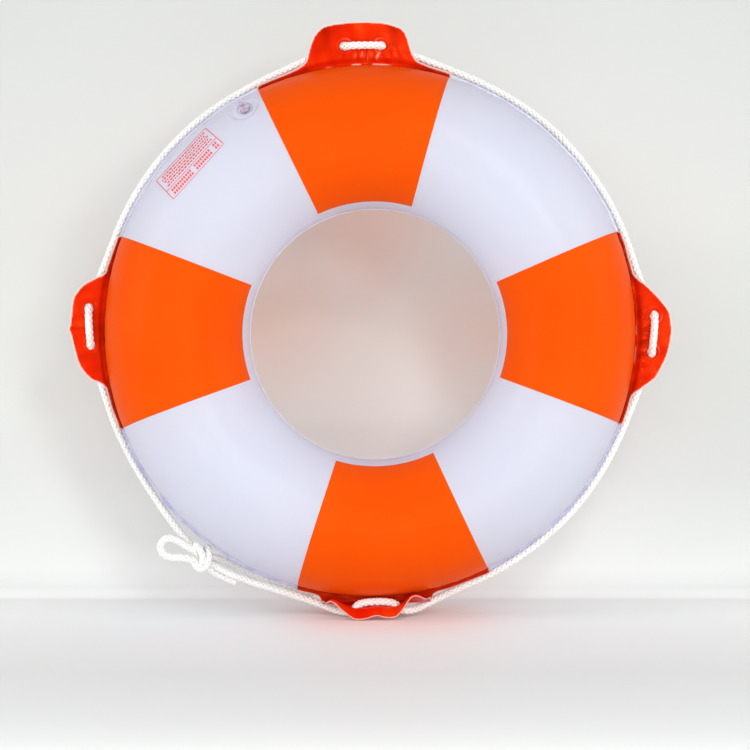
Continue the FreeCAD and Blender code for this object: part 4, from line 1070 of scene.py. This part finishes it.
def bottom_tab():
    lo, hi = SECTORS["bottom"][:2]
    core = catmull([(-66.0, 277.6), (-61.0, 280.2), (-58.6, 285.5), (-57.0, 293.0), (-55.2, 302.0), (-52.6, 311.0),
                    (-48.5, 318.0), (-42.0, 322.8), (-32.0, 326.0), (-16.0, 327.8), (0.0, 328.0), (16.0, 327.8),
                    (32.0, 326.0), (42.0, 322.8), (48.5, 318.0), (52.6, 311.0), (55.2, 302.0), (57.0, 293.0),
                    (58.6, 285.5), (61.0, 280.2), (66.0, 277.6)], 1.25)
    rip = flange_rip["bottom"]
    a_first = math.degrees(math.atan2(core[0][0], core[0][1]))
    a_last = -a_first
    r_j = np.hypot(*core[0])

    def rr(a, a_join):
        near = np.exp(-np.abs(np.degrees(a) - a_join) / 2.2)
        return 285.3 + 0.35 * rip(a) + (r_j - 285.3 - 0.35 * rip(rad(a_join))) * near

    A = arc_line(lambda a: rr(a, a_first), lo - TB, a_first)[:-1]
    Z = arc_line(lambda a: rr(a, a_last), a_last, hi - TB)[1:]
    outer = np.vstack([A, core, Z])
    inner = arc_line(279.3, lo - TB, hi - TB)
    Q, F, ed = plate(outer, inner, [(-21.0, 304.7, 6.5), (21.0, 304.7, 6.5)])
    t, h2 = Q[:, 0], Q[:, 1]
    H, Y = bent(h2)
    # where the hem lies: two lobes on the floor with a notch between, and a lifted fold at each side
    hem_t = [-62, -58, -53.7, -48.4, -43.2, -37.1, -30.2, -23.2, -16.2, -9.1, -3.8, 1.5, 6.8, 13.8, 20.0, 26.3, 31.8, 36.2, 40.7, 45.1, 49.4, 54, 62]
    hem_h = [281, 284, 286.9, 286.3, 288.2, 294.0, 298.6, 301.4, 301.9, 300.8, 298.9, 298.5, 300.0, 300.9, 299.8, 294.6, 288.6, 283.4, 281.9, 282.6, 284.7, 284.5, 281]
    edge_s = np.interp(np.abs(t), [0, 16, 32, 42, 48.5, 52.6, 55.2, 57.0, 58.6], [328, 327.8, 326, 322.8, 318, 311, 302, 293, 285.5])
    He, Ye = bent(edge_s)
    target = np.interp(t, hem_t, hem_h)
    persp = 1 - (-Ye) / 2400.0
    target_true = CZ - (300 + (CZ - target - 300) * persp)
    # the two lobes carry the ring, so they stay on the floor
    lobe = 1 - smooth(np.abs(t + 1.0), 21.0, 38.0)
    target_true = target_true + lobe * 3.7
    w = smooth(h2, 288.5, np.maximum(edge_s, 291.5) + 0.5) ** 1.15
    H = H + w * (target_true - He)
    # the raised side folds also swing forward and back
    Y = Y + w * (2.4 * np.sin((t - 6) / 9.5) * smooth(np.abs(t), 18, 44) + 1.4 * np.cos(t / 7.5) * np.exp(-((t / 16) ** 2)))
    H = H + 0.5 * np.sin(h2 / 4.0 + t / 9.0) * smooth(h2, 290, 300) * smooth(np.abs(t), 26, 40)
    for s_ in (-21.0, 21.0):
        d = oval_dist(t, h2, s_, 304.7)
        H = H - 0.50 * np.exp(-(((d - 8.6) / 0.70) ** 2))
    rho = np.hypot(t, h2)
    flat = 1 - smooth(h2, 285.5, 288.5)
    Y = Y + flat * 0.25 * np.exp(-(((rho - 284.5) / 3.0) ** 2)) * np.sin(t / 2.6 + 2.0 * np.sin(t / 17.0))
    # painted shade: darker near the root under the tube and in the notch between the lobes, lighter towards the hem,
    # and painted light and shade along the folds
    tone = 0.5 - 0.34 * (1 - smooth(h2, 287.0, 300.0)) + 0.10 * smooth(h2, 312.0, 326.0)
    tone = tone - 0.12 * np.exp(-(((t - 3.0) / 4.0) ** 2)) * smooth(h2, 306, 320) + 0.10 * w * np.sin((t + 2) / 9.5)
    flat_piece("skirt_bottom", TB, Q, F, ed, Y, M_TAB, "tab_bottom", hy=H, thick=0.8, tone=tone, rim=0.9, rim_floor=0.60)


bottom_tab()


def white_flange(name, lo, hi, node_name, seed):
    g = waves(np.random.default_rng(seed), 8, 60, 12, 0.4)
    g2 = waves(np.random.default_rng(seed + 1), 60, 160, 8)
    mid = (lo + hi) / 2
    wide = 0.9 if name == "lower_left" else 0.45
    r0 = 283.5 if name == "lower_left" else 283.0

    def rr(a):
        return np.clip(r0 + wide * g(a), 281.8, 285.6)

    outer = arc_line(rr, lo - mid, hi - mid, 1.3)
    inner = arc_line(279.3, lo - mid, hi - mid, 1.3)
    Q, F, ed = plate(outer, inner, [], cell=1.1)
    rho = np.hypot(Q[:, 0], Q[:, 1])
    a = np.arctan2(Q[:, 0], Q[:, 1])
    amp = smooth(rho, 280.0, 284.0)
    y = amp * (0.55 * g(a * 1.7 + 0.3) + 0.2 * g2(a)) * (1.5 if name == "lower_left" else 0.8)
    y += -0.3 * np.exp(-(((rho - 281.4) / 0.6) ** 2))
    flat_piece("flange_" + name, mid, Q, F, ed, y, M_WELD if name.startswith("lower") else M_WELD2, node_name, thick=0.8)


white_flange("upper_right", 21.85, 72.55, "weld_upper_right", 51)
white_flange("upper_left", 114.85, 159.25, "weld_upper_left", 53)
white_flange("lower_left", 201.55, 254.2, "weld_lower_left", 55)
white_flange("lower_right", 296.5, 339.55, "weld_lower_right", 57)


# ------------------------------------------------------------------ the valve
def valve_flange():
    prof_ = [(12.1, -0.30), (12.3, 0.05), (12.1, 0.34), (11.6, 0.50), (11.1, 0.42), (10.6, 0.28), (9.9, 0.25), (9.4, 0.34),
             (8.9, 0.48), (8.5, 0.42), (8.15, 0.22), (7.75, 0.2), (7.4, 0.42),
             (6.9, 0.56), (6.2, 0.6), (5.6, 0.55), (5.3, 0.38), (5.22, 0.0), (5.22, -5.6), (5.5, -6.0), (5.95, -5.7),
             (6.0, -1.2), (6.5, -0.65), (8.6, -0.55), (11.6, -0.5)]
    n = 72
    a = np.arange(n) * 2 * math.pi / n
    P = []
    for i in range(n):
        e = math.cos(a[i]) * VALVE_S + math.sin(a[i]) * VALVE_C
        for r_, z_ in prof_:
            P.append(VALVE_O + r_ * e + z_ * VALVE_A)
    m = len(prof_)
    turn = float(np.cross(VALVE_S, VALVE_C) @ VALVE_A) > 0
    F = grid(n, m, wrap_u=True, wrap_v=True, flip=turn)
    ob = make("valve_flange", P, F, M_WELD3)
    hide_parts("valve_base")
    return ob


valve_flange()
for nm in ("valve_stem", "plug_strap", "valve_plug", "check_flap"):
    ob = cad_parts[nm]
    if not ob.material_slots:
        continue
    for sl in ob.material_slots:
        sl.link = "OBJECT"
        sl.material = M_CLEAR


# ------------------------------------------------------------------ the printed box
def label():
    # the box's corners as seen square on, in millimetres from the ring's middle: outer edge first, from the top
    box = np.array([[(-174.1, 214.6), (-155.7, 198.5)], [(-226.0, 158.9), (-208.6, 140.0)]])

    def at(u, v):
        """The place in the box as (angle round the ring, angle round the tube), in degrees."""
        u, v = np.asarray(u, float)[..., None], np.asarray(v, float)[..., None]
        q = (1 - u) * ((1 - v) * box[0, 0] + v * box[0, 1]) + u * ((1 - v) * box[1, 0] + v * box[1, 1])
        depth = np.full(q.shape[:-1], -50.0)
        for _ in range(40):
            k1 = 1 + depth / 2400.0
            X, Z = 5.32 + (q[..., 0] - 5.32) * k1, -2.47 + (q[..., 1] + 2.47) * k1
            c = np.clip((np.hypot(X, Z) - RM) / RT, -1, 1)
            depth = 0.5 * depth - 0.5 * RT * np.sin(np.arccos(c))
        return np.stack([np.degrees(np.arctan2(Z, X)), np.degrees(np.arccos(c))], -1)

    V, F = [], []

    def strip(u0, v0, u1, v1, width_mm):
        """A flat ink line between two places in the box; u runs down it and v across."""
        L_u, L_v = 80.0, 43.0
        n = max(2, int(math.hypot((u1 - u0) * L_u, (v1 - v0) * L_v) / 2.5) + 1)
        s = np.linspace(0, 1, n)
        du, dv = (u1 - u0) * L_u, (v1 - v0) * L_v
        ln = math.hypot(du, dv)
        px, pv = -dv / ln * width_mm / 2 / L_u, du / ln * width_mm / 2 / L_v
        rows = []
        for sg in (-1, 1):
            a_ = at(u0 + (u1 - u0) * s + sg * px, v0 + (v1 - v0) * s + sg * pv)
            rows.append(surf(rad(a_[:, 0]), rad(a_[:, 1]), off=0.07))
        b0 = len(V)
        for i in range(n):
            V.append(rows[0][i])
            V.append(rows[1][i])
        for i in range(n - 1):
            q = [b0 + 2 * i, b0 + 2 * i + 1, b0 + 2 * i + 3, b0 + 2 * i + 2]
            F.append(q)

    ln = 1.0
    for a_, b_ in (((0, 0), (1, 0)), ((1, 0), (1, 1)), ((1, 1), (0, 1)), ((0, 1), (0, 0))):
        strip(*a_, *b_, ln)
    strip(0, 0.60, 1, 0.60, ln)
    r = np.random.default_rng(77)
    # rows of plain broken bars, which spell nothing
    for row, v in enumerate((0.09, 0.19, 0.29, 0.39, 0.49)):
        u = 0.06 + 0.03 * (row in (1, 3))
        stop = 0.95 - 0.05 * r.uniform()
        while u < stop:
            w = r.uniform(0.016, 0.05)
            strip(u, v, min(u + w, stop), v, 2.5)
            u += w + 0.015
    for row, v in enumerate((0.72, 0.87)):
        for seg0, seg1 in ((0.05, 0.12), (0.19, 0.50), (0.56, 0.93)):
            u = seg0
            while u < seg1 - 0.01:
                w = 0.026
                strip(u, v, u + w, v, 4.4)
                u += w + 0.013
    V_ = np.array(V)
    F_ = np.array(F)
    a, b, c = V_[F_[0][0]], V_[F_[0][1]], V_[F_[0][2]]
    # every bar faces outwards
    cen = V_[F_].mean(1)
    nrm = np.cross(V_[F_[:, 1]] - V_[F_[:, 0]], V_[F_[:, 2]] - V_[F_[:, 1]])
    th = np.arctan2(cen[:, 2] - CZ, cen[:, 0] - CX)
    axis = np.stack([CX + RM * np.cos(th), np.zeros(len(th)), CZ + RM * np.sin(th)], 1)
    wrong = ((cen - axis) * nrm).sum(1) < 0
    F_[wrong] = F_[wrong][:, ::-1]
    make("print_box", V_, F_, M_INK)


label()


# ------------------------------------------------------------------ floor, backdrop, lights
def stage():
    m, nt, p, out = new_mat("stage")
    tc = node(nt, "ShaderNodeTexCoord")
    v = tc.outputs["Object"]
    sep = node(nt, "ShaderNodeSeparateXYZ")
    nt.links.new(v, sep.inputs[0])

    def along(axis, lo_, hi_, stops):
        mr = node(nt, "ShaderNodeMapRange")
        mr.inputs["From Min"].default_value = lo_
        mr.inputs["From Max"].default_value = hi_
        nt.links.new(sep.outputs[axis], mr.inputs["Value"])
        return ramp(nt, mr.outputs["Result"], stops) if stops else mr.outputs["Result"]

    # painted light and shade on the paper: the upright part darker towards the top, where the lamps fall strongest, and
    # the floor lightest at the back, in the ring's shade
    upright = along(2, 0.0, 0.65, [(0.0, (0.63, 0.646, 0.635)), (0.05, (0.685, 0.705, 0.69)), (0.10, (0.651, 0.676, 0.656)),
                                   (0.21, (0.612, 0.634, 0.617)), (0.50, (0.62, 0.643, 0.612)), (0.69, (0.62, 0.628, 0.606)), (1.0, (0.583, 0.597, 0.577))])
    floor = along(1, -0.40, 0.16, [(0.0, (0.72, 0.735, 0.73)), (0.80, (0.905, 0.92, 0.915)), (0.90, (0.90, 0.915, 0.91)), (1.0, (0.855, 0.87, 0.86))])

    def about(x, z, r0, r1, stops):
        # a painted light and shade factor by distance from one point of the upright paper
        vm = node(nt, "ShaderNodeVectorMath", operation="MULTIPLY")
        nt.links.new(v, vm.inputs[0])
        vm.inputs[1].default_value = (1.0, 0.0, 1.0)
        vd = node(nt, "ShaderNodeVectorMath", operation="DISTANCE")
        nt.links.new(vm.outputs[0], vd.inputs[0])
        vd.inputs[1].default_value = (x, 0.0, z)
        mr = node(nt, "ShaderNodeMapRange")
        mr.inputs["From Min"].default_value = r0
        mr.inputs["From Max"].default_value = r1
        nt.links.new(vd.outputs["Value"], mr.inputs["Value"])
        return ramp(nt, mr.outputs["Result"], stops)

    def bright(a, k):
        vm = node(nt, "ShaderNodeVectorMath", operation="SCALE")
        nt.links.new(a, vm.inputs[0])
        vm.inputs["Scale"].default_value = k
        return vm.outputs[0]

    def times(a, b):
        mm = node(nt, "ShaderNodeMix", data_type="RGBA", blend_type="MULTIPLY")
        mm.inputs[0].default_value = 1.0
        nt.links.new(a, mm.inputs[6])
        nt.links.new(b, mm.inputs[7])
        return mm.outputs[2]

    # painted light on the paper: a warm orange glow behind the opening, as of light through the orange film, and a
    # painted lift all round the ring against its shadow
    painted_glow = about(-0.035, 0.375, 0.05, 0.27, [(0.0, (0.69, 0.58, 0.555)), (1.0, (0.85, 0.85, 0.85))])
    upright = times(upright, painted_glow)
    upright = times(upright, about(0.0, 0.313, 0.16, 0.62, [(0.0, (0.985, 0.985, 0.985)), (0.28, (1.0, 1.0, 1.0)), (0.40, (1.0, 1.0, 1.0)), (1.0, (0.88, 0.88, 0.88))]))
    # painted light: a brighter patch low in the opening
    upright = times(upright, about(0.07, 0.205, 0.02, 0.17, [(0.0, (1.0, 1.0, 1.0)), (1.0, (0.88, 0.88, 0.88))]))
    # painted shade: a darker patch on the paper beside the ring's lower right
    upright = times(upright, about(0.37, 0.235, 0.04, 0.20, [(0.0, (0.89, 0.89, 0.89)), (1.0, (1.0, 1.0, 1.0))]))
    # painted glow on the paper: orange light from the nearest orange sector
    for x_, z_ in ((-0.135, 0.31), (0.14, 0.305), (0.0, 0.445)):      # glow of the nearest orange sector
        upright = times(upright, about(x_, z_, 0.015, 0.11, [(0.0, (1.0, 0.85, 0.80)), (1.0, (0.97, 0.97, 0.97))]))
    upright = bright(upright, 1.0 / (0.85 * 0.88 * 0.88 * 0.97 ** 3))
    faint = ramp(nt, noise(nt, v, 2.2, 2.0), [(0.3, (0.985, 0.985, 0.985)), (0.7, (1.0, 1.0, 1.0))])
    mx0 = node(nt, "ShaderNodeMix", data_type="RGBA")
    nt.links.new(along(2, 0.0005, 0.012, None), mx0.inputs[0])
    nt.links.new(floor, mx0.inputs[6])
    nt.links.new(upright, mx0.inputs[7])
    mx = node(nt, "ShaderNodeMix", data_type="RGBA", blend_type="MULTIPLY")
    mx.inputs[0].default_value = 1.0
    nt.links.new(mx0.outputs[2], mx.inputs[6])
    nt.links.new(faint, mx.inputs[7])
    nt.links.new(mx.outputs[2], p.inputs["Base Color"])
    p.inputs["Roughness"].default_value = 0.6
    p.inputs["Specular IOR Level"].default_value = 0.2
    nt.links.new(bump(nt, noise(nt, v, 300.0, 2.0), 0.0003, 0.2), p.inputs["Normal"])
    # the paper is seen from the object's side only, so that views from behind are not blocked
    geo = node(nt, "ShaderNodeNewGeometry")
    tr = node(nt, "ShaderNodeBsdfTransparent")
    mix = node(nt, "ShaderNodeMixShader")
    nt.links.new(geo.outputs["Backfacing"], mix.inputs[0])
    nt.links.new(p.outputs[0], mix.inputs[1])
    nt.links.new(tr.outputs[0], mix.inputs[2])
    nt.links.new(mix.outputs[0], out.inputs[0])
    wall, fillet = 175.0, 22.0
    line_ = [(-4200.0, 0.0), (-1200.0, 0.0), (-300.0, 0.0), (wall - fillet - 40, 0.0)]
    for i in range(13):
        a = math.pi / 2 * i / 12
        line_.append((wall - fillet + fillet * math.sin(a), fillet - fillet * math.cos(a)))
    line_ += [(wall + 30, 150.0), (wall + 62, 300.0), (wall + 190, 900.0), (wall + 890, 4200.0)]
    xs = [-4200.0, -1000.0, -300.0, 0.0, 300.0, 1000.0, 4200.0]
    V = [(x, y, z) for x in xs for y, z in line_]
    F = grid(len(xs), len(line_))
    ob = make("stage_sweep", V, F, m, body=None)
    return ob


stage()


def area(name, direction, distance, size, watts, colour=(1, 1, 1)):
    d = bpy.data.lights.new(name, "AREA")
    d.shape = "RECTANGLE"
    d.size, d.size_y = size
    d.energy = watts
    d.color = colour
    o = bpy.data.objects.new(name, d)
    az, el = math.radians(direction[0]), math.radians(direction[1])
    c = Vector((0, 0, 0.30))
    v = Vector((math.sin(az) * math.cos(el), -math.cos(az) * math.cos(el), math.sin(el)))
    o.location = c + v * distance
    o.rotation_euler = (-v).to_track_quat("-Z", "Y").to_euler()
    o.visible_camera = False
    bpy.context.scene.collection.objects.link(o)
    return o


area("front_fill", (-3, 3), 3.6, (2.8, 1.2), 9.1)
area("key_main", (18, 9), 3.6, (0.6, 0.45), 16.4)
area("key_front_top", (14, 25), 2.6, (0.40, 0.25), 7.2)
area("soft_left", (-62, 14), 2.0, (0.8, 1.2), 13.1)
area("soft_right", (62, 14), 2.0, (0.8, 1.2), 11.1)
area("front_low", (0, -14), 1.0, (1.0, 0.07), 2.0)

world = bpy.data.worlds.new("world")
bpy.context.scene.world = world
world.use_nodes = True
bg = world.node_tree.nodes.get("Background")
bg.inputs[0].default_value = (0.97, 0.98, 1.0, 1)
bg.inputs[1].default_value = 0.672

sc = bpy.context.scene
sc.view_settings.view_transform = "Standard"
sc.view_settings.look = "None"
sc.view_settings.exposure = 0.0
sc.view_settings.gamma = 1.0
